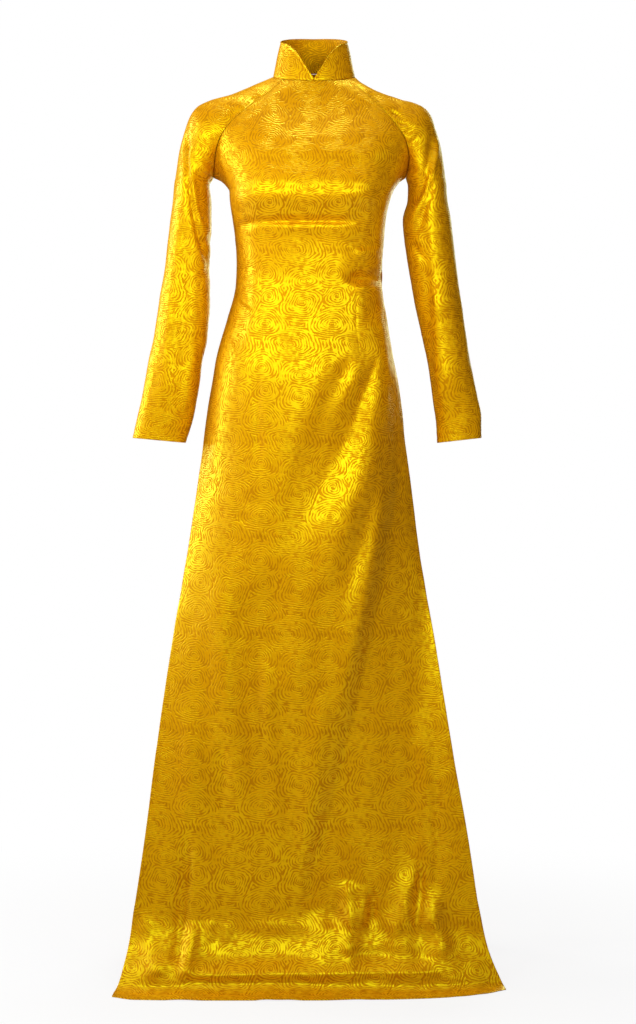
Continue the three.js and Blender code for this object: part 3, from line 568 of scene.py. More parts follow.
def points_at(points, places):
    """Points of a line at the given distances along it."""
    lengths = distances(points)
    return np.stack([np.interp(places, lengths, points[:, axis]) for axis in range(3)], axis=1)


def vectors(x, y, z):
    return np.stack(np.broadcast_arrays(x, y, z), axis=-1).astype(float)


def unit(directions):
    return directions / np.linalg.norm(directions, axis=-1, keepdims=True)


# ---- Seam lines that two pieces share ----


def side_name(side):
    return "left" if side < 0 else "right"


def neck_point(angle):
    """A point of the neck line, at an angle round the neck from the centre front."""
    radius = np.where(np.cos(angle) > 0, NECK_FRONT_RADIUS, NECK_BACK_RADIUS)
    height = NECK_MID_Z - NECK_LEAN_Z * np.cos(angle)
    return vectors(NECK_HALF_WIDTH * np.sin(angle), -radius * np.cos(angle), height)


def seam_point(rows, side, down):
    """A point of a raglan seam or of the crest of a shoulder, from the neck line (0) down."""
    name = side_name(side)
    return vectors(*read_all(rows, "down", f"x_{name} y z_{name}", down))


# ---- Panels ----

# Places across a panel, from -1 at its left edge to 1 at its right, closer together at the edges.
SPOTS = np.sin(np.pi * (np.arange(SAMPLES + 1) / SAMPLES - 0.5))


@dataclass
class Panel:
    """What differs between the front and back panels."""

    name: str
    facing: int  # -1 for the front, 1 for the back
    raglan: dict
    yoke: dict
    neck_angle: float
    buckle: dict
    creases: dict
    darts: dict
    inset: float
    seed: int
    pattern: tuple  # how far the rose pattern is moved across and up on it


FRONT = Panel(
    "front", -1, FRONT_RAGLAN, FRONT_YOKE, RAGLAN_FRONT_ANGLE, FRONT_BREAK,
    FRONT_CREASES, FRONT_DARTS, 0, 3, (-26.5, 77.5),
)
BACK = Panel(
    "back", 1, BACK_RAGLAN, BACK_YOKE, math.pi - RAGLAN_BACK_ANGLE, BACK_BREAK,
    BACK_CREASES, BACK_DARTS, BACK_INSET, 8, (31, 52),
)


def roundness(across, reach, power):
    """Fullness of a rounded section: 0 at the middle of the panel, 1 at its edge."""
    def height(t):
        return np.maximum(0.0, 1 - (reach * t) ** power) ** (1 / power)

    return (1 - height(np.abs(across))) / (1 - height(1.0))


def yoke_row(panel, down):
    """A row of a panel above the underarm, from raglan seam to raglan seam."""
    left, right = (seam_point(panel.raglan, side, down) for side in (-1, 1))
    z, y, reach, power = read_all(panel.yoke, "down", "z y reach power", down)
    middle = vectors((left[0] + right[0]) / 2 * fade(down), y, z)
    edge = np.where((SPOTS < 0)[:, None], left, right)
    share = vectors(np.abs(SPOTS), roundness(SPOTS, reach, power), SPOTS**2)
    return mix(middle, edge, share)


def neck_correction(panel):
    """How far the first row of a panel has to move to lie on the neck line."""
    turn = panel.neck_angle * np.arcsin(SPOTS) * (2 / np.pi)
    angle = turn if panel.facing < 0 else np.pi - turn
    return neck_point(angle) - yoke_row(panel, 0.0)


def body_row(panel, z):
    """A row of a panel round the body, between the underarm and the break."""
    name = panel.name
    left, right, middle = read_all(BODY, "z", f"left right {name}", z)
    edge, power, opened = read_all(BODY, "z", f"{name}_edge {name}_power {name}_open", z)
    inset = panel.inset * fade((SLIT_Z - z) / INSET_HEIGHT)
    reach = (1 - max(0.0, opened) ** power) ** (1 / power)
    x = mix(left + inset, right - inset, (SPOTS + 1) / 2)
    return vectors(x, mix(middle, edge, roundness(SPOTS, reach, power)), z)


def break_row(panel, run):
    """A row of the cloth that buckles and lies out over the floor."""
    out, lift, *flares = read_all(panel.buckle, "run", "out lift flare_left flare_right", run)
    row = body_row(panel, BREAK_Z)
    share = read(HEM_REACH, "across", f"{panel.name}_share", SPOTS)
    raised = sum(
        peak["raise"] * hill(-SPOTS * panel.facing - peak["across"], peak["spread"])
        for peak in table_rows(HEM_PEAKS)
    )
    if lift >= LOW_LIFT:
        lift = lift * (1 + raised * fade(run / SETTLED_RUN) * PEAK_SHARE)
    row[:, 0] += np.where(SPOTS < 0, *flares) * SPOTS
    row[:, 1] += panel.facing * out * share
    row[:, 2] = FLOOR_Z + lift
    return row


def panel_row(panel, way):
    """A row at a place down the panel: 0 to 1 above the underarm, to 2 the body, then the break."""
    if way <= 1:
        return yoke_row(panel, way) + neck_correction(panel) * fade(1 - way / NECK_SHARE)
    if way <= 2:
        return body_row(panel, mix(UNDERARM_Z, BREAK_Z, way - 1))
    return break_row(panel, way - 2)


def row_ways(panel):
    """Places down a panel for its grid rows: even along its middle, closer at the neck and hem."""
    ways = np.linspace(0, 2 + panel.buckle["run"][-1], TRIAL_ROWS)
    middle = np.array([panel_row(panel, way)[SAMPLES // 2] for way in ways])
    lengths = distances(middle)
    start, end = SEAM_BAND[-1], lengths[-1] - HEM_BAND[-1]
    steps = np.diff(lengths) / read(ROW_SPACING, "z", "spacing", middle[1:, 2])
    count = np.concatenate([[0], np.cumsum(steps)])
    first, last = np.interp([start, end], lengths, count)
    even = np.interp(np.linspace(first, last, round(last - first)), count, lengths)
    stops = np.concatenate([SEAM_BAND[:-1], even, lengths[-1] - np.array(HEM_BAND[-2::-1])])
    placed = np.interp(stops, lengths, ways)
    for exact in (1.0, 1 + (SLIT_Z - UNDERARM_Z) / (BREAK_Z - UNDERARM_Z)):
        placed[np.argmin(np.abs(placed - exact))] = exact
    return placed


def column_places(length, darts):
    """Distances across a row for its grid columns, with lines at the edges and at both darts."""
    stops = [HEM_BAND[-1]]
    for dart in darts:
        stops += [dart - DART_LIP, dart, dart + DART_LIP]
    stops.append(length - HEM_BAND[-1])
    cells = [SIDE_CELLS, 1, 1, MIDDLE_CELLS, 1, 1, SIDE_CELLS]
    spans = zip(stops, stops[1:], cells)
    between = [np.linspace(start, end, count, endpoint=False) for start, end, count in spans]
    return np.concatenate([HEM_BAND[:-1], *between, length - np.array(HEM_BAND[::-1])])


def dart_places(panel, z, row):
    """Distances across a row of the two dart lines at a height."""
    xs = read_all(panel.darts, "z", "x_left x_right", z)
    return np.interp(xs, row[:, 0], distances(row))


def base_panel(panel):
    """The smooth grid of a panel, and the distance of each place from the left edge."""
    top, bottom = panel.darts["z"][0], panel.darts["z"][-1]
    shares = {}
    for z in (top, bottom):
        row = body_row(panel, z)
        shares[z] = dart_places(panel, z, row) / distances(row)[-1]
    grid, across = [], []
    for way in row_ways(panel):
        row = panel_row(panel, way)
        length = distances(row)[-1]
        z = mix(UNDERARM_Z, BREAK_Z, way - 1)
        if bottom < z < top:
            darts = dart_places(panel, z, row)
        else:
            darts = shares[top if z >= top else bottom] * length
        across.append(column_places(length, darts))
        grid.append(points_at(row, across[-1]))
    return np.array(grid), np.array(across)


def ease_underarm(base, to_side):
    """Rounds the bend that runs across a panel at the height of the underarm, inside its seams."""
    share = EASE_SHARE * hill(base[..., 2] - UNDERARM_Z, UNDERARM_EASE) * fade(to_side / UNDERARM_EASE)
    for _ in range(EASE_ROUNDS):
        between = base.copy()
        between[1:-1] = (base[:-2] + base[2:]) / 2
        base = mix(base, between, share[..., None])
    return base


# ---- Sleeves ----


def quarter_turn(start, control, level, end):
    """The points of a smooth curve that leaves start toward control and arrives from level."""
    t = np.linspace(0, 1, SAMPLES // 2 + 1)[:, None]
    return (
        start * (1 - t) ** 3 + control * 3 * t * (1 - t) ** 2 + level * 3 * t**2 * (1 - t) + end * t**3
    )


def sleeve_row(ends, crest):
    """A row of a sleeve: from one seam over the outer arm to the other, as two quarter turns."""
    front, back = (
        quarter_turn(point, control, vectors(crest[0], crest_y, crest[2]), crest)
        for point, control, crest_y in ends
    )
    return np.concatenate([front, back[-2::-1]])


def control_depth(seam_y, crest_y, depth):
    """Control depth that carries a quarter turn out to the given depth and back to the crest."""
    return (8 * depth - seam_y - crest_y) / 6


def cap_end(rows, side, down, crest):
    """One end of a cap row. High on the cap the cloth leaves the seam in the panel's own direction.
    Low on it the cloth turns round the front or back of the arm."""
    point = seam_point(rows, side, down)
    facing = -1 if rows is FRONT_RAGLAN else 1
    arm_y, half_depth = SLEEVE_RINGS["y"][0], SLEEVE_RINGS["half_depth"][0]
    depth = arm_y + facing * max(half_depth, facing * (point[1] - arm_y) + CAP_FULLNESS)
    turned_y = control_depth(point[1], crest[1], depth)
    out, fore, rise = read_all(rows, "down", "out fore rise", down)
    width = np.linalg.norm(point - crest)
    flat = point + unit(vectors(side * out, -fore, rise)) * CAP_REACH * width
    ring_like = fade((down - CAP_TURN) / CAP_TURN)
    turned = vectors(point[0], turned_y, point[2])
    crest_y = mix(crest[1] + facing * CREST_REACH * width, turned_y, ring_like)
    return point, mix(flat, turned, ring_like), crest_y


def cap_row(side, down):
    """A row of the cap, between the two raglan seams. Near the neck it lies on the neck line."""
    crest = seam_point(SHOULDER, side, down)
    row = sleeve_row([cap_end(rows, side, down, crest) for rows in (FRONT_RAGLAN, BACK_RAGLAN)], crest)
    lengths = distances(row)
    angle = mix(RAGLAN_FRONT_ANGLE, RAGLAN_BACK_ANGLE, lengths / lengths[-1])
    return mix(row, neck_point(side * angle), fade(1 - down / CAP_NECK_SHARE))


def ring_row(side, z):
    """A closed ring of the sleeve, which starts and ends at the underarm seam."""
    name = side_name(side)
    y, half, *xs = read_all(SLEEVE_RINGS, "z", f"y half_depth inner_{name} outer_{name}", z)
    tilt = CUFF_TILT * (UNDERARM_Z - z) / (UNDERARM_Z - SLEEVE_RINGS["z"][-1])
    inner, outer = vectors(xs[0], y, z - tilt), vectors(xs[1], y, z + tilt)
    turns = [control_depth(y, y, y + facing * half) for facing in (-1, 1)]
    return sleeve_row([(inner, vectors(inner[0], turn, inner[2]), turn) for turn in turns], outer)


def base_sleeve(side):
    """The smooth grid of a sleeve, the distance of each place round it, and its first whole ring."""
    cuff_z = SLEEVE_RINGS["z"][-1]
    crest_downs = np.linspace(0, 1, CREST_STEPS)
    lengths = distances(seam_point(SHOULDER, side, crest_downs))
    even = np.linspace(SEAM_BAND[-1], lengths[-1], round(lengths[-1] / CAP_SPACING))
    downs = np.interp(np.concatenate([SEAM_BAND[:-1], even]), lengths, crest_downs)
    count = round((UNDERARM_Z - cuff_z) / SLEEVE_SPACING)
    rings = np.linspace(UNDERARM_Z, cuff_z + HEM_BAND[-1], count)[1:]
    levels = np.concatenate([rings, cuff_z + np.array(HEM_BAND[-2::-1])])
    grid, across = [], []
    for row in [cap_row(side, down) for down in downs] + [ring_row(side, z) for z in levels]:
        length = distances(row)[-1]
        even = np.linspace(SEAM_BAND[-1], length - SEAM_BAND[-1], SLEEVE_CELLS)
        across.append(np.concatenate([SEAM_BAND[:-1], even, length - np.array(SEAM_BAND[-2::-1])]))
        grid.append(points_at(row, across[-1]))
    return np.array(grid), np.array(across), len(downs) - 1


# ---- Relief: folds, creases, seams and hems ----


def crease_line(crease):
    """The points of the smooth line through a crease's three places."""
    first, middle, last = (np.array([crease[f"x{n}"], crease[f"z{n}"]]) for n in (1, 2, 3))
    bend = 2 * middle - (first + last) / 2
    t = np.linspace(0, 1, CREASE_STEPS + 1)[:, None]
    return first * (1 - t) ** 2 + bend * 2 * t * (1 - t) + last * t**2


def nearest_on(line, x, z):
    """Signed distance of places from a line of points, and the share of the line passed there."""
    steps = np.diff(line, axis=0)
    best = np.full(x.shape, np.inf)
    signed, along = np.zeros(x.shape), np.zeros(x.shape)
    for n, (start, step) in enumerate(zip(line, steps)):
        dx, dz = x - start[0], z - start[1]
        t = np.clip((dx * step[0] + dz * step[1]) / (step @ step), 0, 1)
        gap = np.hypot(dx - t * step[0], dz - t * step[1])
        closer = gap < best
        best = np.where(closer, gap, best)
        signed = np.where(closer, gap * np.sign(step[0] * dz - step[1] * dx), signed)
        along = np.where(closer, (n + t) / len(steps), along)
    return signed, along


def crease_depth(creases, x, z):
    """Depth of the creases, each steeper on one side and fading and narrowing at its ends."""
    depth = np.zeros(x.shape)
    for crease in table_rows(creases):
        distance, along = nearest_on(crease_line(crease), x, z)
        taper = fade(along / crease["head"]) * fade((1 - along) / crease["tail"])
        width = np.where(distance > 0, crease["upper"], crease["lower"])
        width = width * mix(1, crease["grow"], along) * (END_WIDTH + (1 - END_WIDTH) * taper)
        depth += crease["depth"] * hill(distance, width) * taper
    return depth


def ripple(x, z, kind, seed):
    """Smooth random unevenness, longer down the cloth than across it."""
    depth, wavelength, stretch = kind
    random = np.random.default_rng(seed)
    total = np.zeros(x.shape)
    for _ in range(RIPPLE_WAVES):
        turn = random.uniform(0, 2 * np.pi)
        pitch = wavelength * random.uniform(*RIPPLE_PITCHES)
        phase = random.uniform(0, 2 * np.pi)
        total += np.sin(2 * np.pi * (x * np.cos(turn) + z * np.sin(turn) / stretch) / pitch + phase)
    return depth * total / math.sqrt(RIPPLE_WAVES)


def sewn_line(distance, line):
    """Depth at a distance from an edge, beside a groove, pucker or roll that runs along it."""
    depth, at, width = line
    return depth * hill(distance - at, width)


def seam_relief(distance, along, seed):
    """Depth beside a seam: the stitched groove and the small uneven puckers that it gathers."""
    uneven = 1 + ripple(along, distance, PUCKER_RIPPLE, seed)
    pucker = uneven * sewn_line(distance, SEAM_PUCKER) * fade(distance / PUCKER_START)
    return sewn_line(distance, SEAM_GROOVE) + pucker


def hem_relief(distance):
    """Depth beside a turned hem: the rolled edge and the faint line where it is sewn down."""
    return sewn_line(distance, HEM_ROLL) + sewn_line(distance, HEM_LINE)


def grid_normals(grid, outward, closed_from=None):
    """Outward normals of a grid whose rows run down and whose columns run to the right."""
    down, across = np.gradient(grid, axis=0), np.gradient(grid, axis=1)
    if closed_from is not None:
        wrapped = grid[closed_from:, 1] - grid[closed_from:, -2]
        across[closed_from:, 0] = wrapped
        across[closed_from:, -1] = wrapped
    return unit(np.cross(down, across) * outward)


@dataclass
class Cloth:
    """A piece of cloth ready to be meshed. Grids are in millimetres."""

    node: str
    outer: np.ndarray
    inner: np.ndarray
    uv: np.ndarray  # cloth coordinates of the left and right corner of each cell
    edge: np.ndarray  # painted shade along seams and hems: 1 there, fading to 0
    outward: int
    closed_from: int | None = None


def cell_corners(u, v):
    """Cloth coordinates of the left and right corner of each cell, from those of each place."""
    place = vectors(u, v, 0)[..., :2]
    return np.stack([place[:, :-1], place[:, 1:]])


def two_layers(outer, turned, sewn, sizes, outward, closed_from=None):
    """The outer and inner layer of a cloth: thicker where an edge is turned, kept over the floor,
    and drawn back at its sewn edges by half the seam gap, so that two pieces never touch."""
    thickness = np.where(turned, sizes.hem_thickness, sizes.cloth_thickness) / MM
    outer[..., 2] = np.maximum(outer[..., 2], FLOOR_Z + thickness + FLOOR_GAP)
    inner = outer - grid_normals(outer, outward, closed_from) * thickness[..., None]
    inner[..., 2] = np.maximum(inner[..., 2], FLOOR_Z + FLOOR_GAP)
    for layer in (outer, inner):
        for at, toward in ((0, 1), (-1, -2)):
            layer[:, at] += unit(layer[:, toward] - layer[:, at]) * (SEAM_GAP / 2) * sewn[:, [at]]
        layer[0] += unit(layer[1] - layer[0]) * (SEAM_GAP / 2)
    return outer, inner


def panel_cloth(panel, sizes):
    """A panel with its folds, darts, seams and hems, as two layers of a thin shell."""
    base, places = base_panel(panel)
    to_side = np.minimum(places, places[:, -1:] - places)
    base = ease_underarm(base, to_side)
    x, z = base[..., 0], base[..., 2]
    to_top = lengths_down(base)
    to_hem = to_top[-1:] - to_top
    sewn = (z >= SLIT_Z - 1) & (np.arange(len(base)) < len(base) // 2)[:, None]

    held = fade((z - SLIT_Z + SEWN_HEIGHT) / SEWN_HEIGHT)
    hanging = fade(to_hem / HANG_HEIGHT)
    folds = crease_depth(panel.creases, x, z) * mix(1.0, fade(to_side / SEAM_HOLD), held)
    loose = mix(1.0, fade(to_side / FLAT_EDGE), held) * fade(to_top / FLAT_EDGE)
    skirt = fade((SKIRT_TOP_Z - z) / SKIRT_HEIGHT)
    seam = seam_relief(to_side, to_top, panel.seed + 2)
    depth = folds * (1 - hanging)
    depth += ripple(x, z, PANEL_RIPPLE, panel.seed) * loose
    depth += ripple(x, z, SKIRT_RIPPLE, panel.seed + 1) * loose * skirt
    depth += mix(hem_relief(to_side), seam, fade((z - SLIT_Z) / SLIT_END))
    depth += seam_relief(to_top, places, panel.seed + 3) + hem_relief(to_hem)
    for side, at in ((-1, LEFT_DART_COLUMN), (1, RIGHT_DART_COLUMN)):
        depth[:, at] += read(panel.darts, "z", f"pinch_{side_name(side)}", z[:, at])

    outer = base - grid_normals(base, -panel.facing) * depth[..., None]
    outer[..., 1] -= panel.facing * folds * hanging
    turned = (to_hem < HEM_WIDTH) | (~sewn & (to_side < HEM_WIDTH))
    outer, inner = two_layers(outer, turned, sewn, sizes, -panel.facing)

    profile = np.hypot(np.diff(base[..., 1], axis=0), np.diff(base[..., 2], axis=0))
    v = np.concatenate([np.zeros((1, base.shape[1])), np.cumsum(profile, axis=0)])
    waist = np.argmin(np.abs(z[:, 0] - PATTERN_WAIST_Z))
    u = places - places[:, -1:] / 2 + panel.pattern[0]
    uv = cell_corners(u, v[waist] - v + panel.pattern[1])
    cells = np.arange(base.shape[1] - 1)
    outside = np.where(cells < LEFT_DART_COLUMN, -1, cells >= RIGHT_DART_COLUMN)
    uv[..., 0] += read(panel.darts, "z", "intake", z[:, :1]) * outside
    # mask of painted shade, strongest at the seams and hems
    edge = np.maximum.reduce([hill(distance, EDGE_SHADE_SPREAD) for distance in (to_side, to_top, to_hem)])
    return Cloth(f"{panel.name}_panel", outer, inner, uv, edge, -panel.facing)


def sleeve_cloth(side, creases, sizes):
    """A sleeve with its folds, seams and cuff, as two layers of a thin shell."""
    base, places, closed_from = base_sleeve(side)
    normals = grid_normals(base, side, closed_from)
    x, z = base[..., 0], base[..., 2]
    to_side = np.minimum(places, places[:, -1:] - places)
    to_neck = lengths_down(base)
    to_cuff = to_neck[-1:] - to_neck
    cap = (np.arange(len(base)) <= closed_from)[:, None]

    # The back of the sleeve has the front's creases, a little shallower and out of step.
    front_share = fade(0.5 - FRONT_TURN * normals[..., 1])
    bend = creases["x2"] + BEHIND_BEND * side
    behind = {**creases, "depth": creases["depth"] * BEHIND_SHARE, "x2": bend}
    inward, down = BEHIND_SHIFT
    depth = crease_depth(creases, x, z) * front_share
    depth += crease_depth(behind, x + inward * side, z + down) * (1 - front_share)
    depth *= np.where(cap, fade(to_side / CAP_HOLD), 1.0)
    loose = np.where(cap, fade(to_side / CAP_FLAT_EDGE), 1.0) * fade(to_neck / FLAT_EDGE)
    ripple_seed, side_seed, neck_seed = (seed + side for seed in SLEEVE_SEEDS)
    depth += ripple(x + base[..., 1], z, SLEEVE_RIPPLE, ripple_seed) * loose
    depth += np.where(cap, 1.0, UNDERARM_SEAM_SHARE) * seam_relief(to_side, to_neck, side_seed)
    depth += seam_relief(to_neck, places, neck_seed) + hem_relief(to_cuff)

    outer = base - normals * depth[..., None]
    outer, inner = two_layers(outer, to_cuff < HEM_WIDTH, cap, sizes, side, closed_from)
    crest = [base.shape[1] // 2]
    uv = cell_corners(places - places[:, crest], -to_neck[:, crest])
    # mask of painted shade, strongest at the seams and the cuff
    edge = np.maximum.reduce(
        [hill(to_side, SLEEVE_EDGE_SHADE_SPREAD), hill(to_neck, EDGE_SHADE_SPREAD), hill(to_cuff, EDGE_SHADE_SPREAD)]
    )
    return Cloth(f"sleeve_{side_name(side)}", outer, inner, uv, edge, side, closed_from)


def collar_cloth(sizes):
    """The standing collar: two stiff layers with a corded top edge, open in a wide V at the front."""
    end = COLLAR_END / NECK_HALF_WIDTH
    angles = np.linspace(end, 2 * np.pi - end, COLLAR_SAMPLES)
    lengths = distances(neck_point(angles))
    places = np.linspace(0, lengths[-1], COLLAR_CELLS + 1)
    from_front = np.minimum(places, lengths[-1] - places)
    height, lean = read_all(COLLAR_EDGE, "from_front", "height lean", from_front)
    steepness = np.sqrt(1 + np.gradient(height, places) ** 2)

    foot = neck_point(np.interp(places, lengths, angles))
    inward = unit(vectors(-foot[:, 0], -foot[:, 1], 0))
    up = unit(vectors(0, 0, 1) + inward * lean[:, None])
    band = np.array(COLLAR_BAND)[:, None] * steepness
    from_top = band * np.minimum(1, height * COLLAR_BAND_SHARE / band[-1])
    body = np.linspace(1, 0, COLLAR_ROWS + 1)[1:, None]
    below = np.concatenate([from_top, height - body * (height - from_top[-1])])
    to_foot = height - below
    to_edge = below / steepness
    grid = foot + up * (SEAM_GAP / 2 + height - below)[..., None]
    normals = grid_normals(grid, 1)

    bead = sewn_line(to_edge, (sizes.collar_cord / MM, CORD_MIDDLE, CORD_MIDDLE))
    depth = sewn_line(to_foot, COLLAR_FOOT) - bead + sewn_line(to_edge, CORD_LINE)
    depth += ripple(places + 0 * below, below, COLLAR_RIPPLE, COLLAR_SEED)
    outer = grid - normals * depth[..., None]
    share = mix(COLLAR_EDGE_SHARE, 1.0, fade(to_edge / COLLAR_EDGE_WIDTH))
    inner = outer - normals * (sizes.collar_thickness / MM * share)[..., None]
    # mask of painted shade, strongest at the collar's top edge and its foot
    edge = np.maximum(hill(to_edge, COLLAR_EDGE_SHADE_SPREAD), hill(to_foot, EDGE_SHADE_SPREAD))
    return Cloth("collar", outer, inner, cell_corners(places, to_foot), edge, 1)


# ---- Meshing ----


def shell_faces(rows, columns, outward, closed_from):
    """Corners of the outer, inner and rim faces of a shell, each as layers, rows and columns."""
    i, j = (cells.ravel() for cells in np.indices((rows - 1, columns - 1)))
    corners = [(i, j), (i + 1, j), (i + 1, j + 1), (i, j + 1)]
    faces = [[(0, *corner) for corner in corners], [(1, *corner) for corner in corners[::-1]]]
    i = np.arange(rows - 1 if closed_from is None else closed_from)
    for at, order in ((0, 1), (columns - 1, -1)):
        j = np.full(len(i), at)
        faces.append([(1, i, j), (1, i + 1, j), (0, i + 1, j), (0, i, j)][::order])
    j = np.arange(columns - 1)
    for at, order in ((0, 1), (rows - 1, -1)):
        i = np.full(len(j), at)
        faces.append([(0, i, j), (0, i, j + 1), (1, i, j + 1), (1, i, j)][::order])
    return [face[::outward] for face in faces]


def add_object(name, data):
    thing = bpy.data.objects.new(name, data)
    bpy.context.scene.collection.objects.link(thing)
    return thing


def make_shell(cloth, materials):
    """A mesh object of a cloth: outer layer, inner layer and rims, with its cloth coordinates."""
    rows, columns = cloth.outer.shape[:2]
    numbers = np.arange(2 * rows * columns).reshape(2, rows, columns)
    if cloth.closed_from is not None:
        numbers[:, cloth.closed_from:, -1] = numbers[:, cloth.closed_from:, 0]
    loops, uvs, slots = [], [], []
    for kind, face in enumerate(shell_faces(rows, columns, cloth.outward, cloth.closed_from)):
        cell = np.minimum.reduce([j for _, _, j in face]).clip(max=columns - 2)
        loops.append(np.stack([numbers[corner] for corner in face], axis=1))
        uvs.append(np.stack([cloth.uv[j - cell, i, cell] for _, i, j in face], axis=1))
        slots.append(np.full(len(cell), 1 if kind == 1 else 0))
    used, loops = np.unique(np.concatenate(loops), return_inverse=True)
    faces = loops.reshape(-1, 4)
    points = np.concatenate([cloth.outer.reshape(-1, 3), cloth.inner.reshape(-1, 3)])[used] * MM

    mesh = bpy.data.meshes.new(f"{cloth.node}_brocade")
    mesh.vertices.add(len(points))
    mesh.vertices.foreach_set("co", points.ravel())
    mesh.loops.add(faces.size)
    mesh.loops.foreach_set("vertex_index", faces.ravel())
    mesh.polygons.add(len(faces))
    mesh.polygons.foreach_set("loop_start", np.arange(len(faces)) * 4)
    mesh.polygons.foreach_set("material_index", np.concatenate(slots))
    mesh.polygons.foreach_set("use_smooth", np.ones(len(faces), bool))
    mesh.update(calc_edges=True)
    layer = mesh.uv_layers.new(name="cloth")
    layer.data.foreach_set("uv", (np.concatenate(uvs) * MM).ravel())
    # the painted shade mask along seams and hems, which darkens the brocade's colour
    edge = mesh.attributes.new("edge", "FLOAT", "POINT")
    edge.data.foreach_set("value", np.tile(cloth.edge.ravel(), 2)[used])
    mesh.validate()
    for material in materials:
        mesh.materials.append(material)
    return add_object(mesh.name, mesh)


# ---- Node helpers ----


class Nodes:
    """Adds nodes to a tree. Inputs are sockets to link or plain values to set."""

    def __init__(self, tree):
        self.tree = tree

    def add(self, kind, inputs=None, **settings):
        node = self.tree.nodes.new(kind)
        for name, value in settings.items():
            setattr(node, name, value)
        return self.fill(node, inputs or {})

    def fill(self, node, inputs):
        for key, value in inputs.items():
            if isinstance(value, bpy.types.NodeSocket):
                self.tree.links.new(value, node.inputs[key])
            else:
                node.inputs[key].default_value = value
        return node

    def math(self, operation, *values):
        return self.add("ShaderNodeMath", dict(enumerate(values)), operation=operation).outputs[0]

    def vector(self, operation, *values):
        """A vector sum of the kind asked for, as a vector, or as a number for a length."""
        node = self.add("ShaderNodeVectorMath", dict(enumerate(values)), operation=operation)
        return node.outputs["Value" if operation == "LENGTH" else "Vector"]

    def scale(self, vector, factor):
        inputs = {"Vector": vector, "Scale": factor}
        return self.add("ShaderNodeVectorMath", inputs, operation="SCALE").outputs[0]

    def ramp(self, value, low, high, start=0.0, end=1.0):
        """A smooth step of a value between low and high."""
        inputs = {"Value": value, "From Min": low, "From Max": high, "To Min": start, "To Max": end}
        return self.add("ShaderNodeMapRange", inputs, interpolation_type="SMOOTHSTEP").outputs["Result"]

    def blend(self, factor, a, b):
        return self.add("ShaderNodeMix", {0: factor, 6: a, 7: b}, data_type="RGBA").outputs[2]

    def parts(self, vector):
        return self.add("ShaderNodeSeparateXYZ", {0: vector}).outputs

    def joined(self, x, y, z):
        return self.add("ShaderNodeCombineXYZ", {"X": x, "Y": y, "Z": z}).outputs[0]


def new_group(name, inputs, outputs):
    """A shader node group with named sockets, its node helper and its input and output nodes."""
    group = bpy.data.node_groups.new(name, "ShaderNodeTree")
    for socket_name, value in inputs.items():
        kind = "NodeSocketVector" if value is None else "NodeSocketFloat"
        socket = group.interface.new_socket(socket_name, in_out="INPUT", socket_type=kind)
        if value is not None:
            socket.default_value = value
    for socket_name in outputs:
        group.interface.new_socket(socket_name, in_out="OUTPUT", socket_type="NodeSocketFloat")
    nodes = Nodes(group)
    return group, nodes, nodes.add("NodeGroupInput").outputs, nodes.add("NodeGroupOutput")


# ---- Brocade and thread ----

# The roses of one repeat of the brocade: centre, half-sizes, the way that the petals wind and their
# number.
ROSES = table("x y half_width half_height wind petals", [
    [13, 129, 29, 19, 1, 3],
    [57, 97, 38, 21, -1, 4],
    [13, 61, 23, 20, 1, 3],
    [74, 47, 22, 14, -1, 3],
    [72, 13, 27, 21, 1, 4],
    [19, 22, 17, 13, -1, 3],
])
WANDERING = ((22.0, 7.0), (6.0, 2.0))  # size of the noise that bends the lines, and how far it does
SCALLOP = 0.08  # depth of the waves round a rose, in shares of its radius
OVAL_SHARE = 0.25  # of a rose's extra width, as a straight stretch along its middle
CLOSING = -0.0016  # how the lines draw together toward the heart of a rose
BREAKS = (4.2, -2.4)  # how strongly the finer noise breaks the lines, and its offset
LOZENGE_FROM, LOZENGE_TO = 16.5, 18.5  # this far out from every rose the lines close into a lozenge
LINE_SHARE = 0.95  # of the petal colour in a petal line
SEAM_SHADE_SHARE = 0.16  # of the painted shade colour at a seam or hem
# painted shade: the dark brown laid over the cloth at its seams and hems
SEAM_SHADE_COLOR = (0.30, 0.12, 0.004, 1)
SHEEN_COLOR = (1, 0.7, 0.05, 1)
THREAD_RELIEF = 0.00004


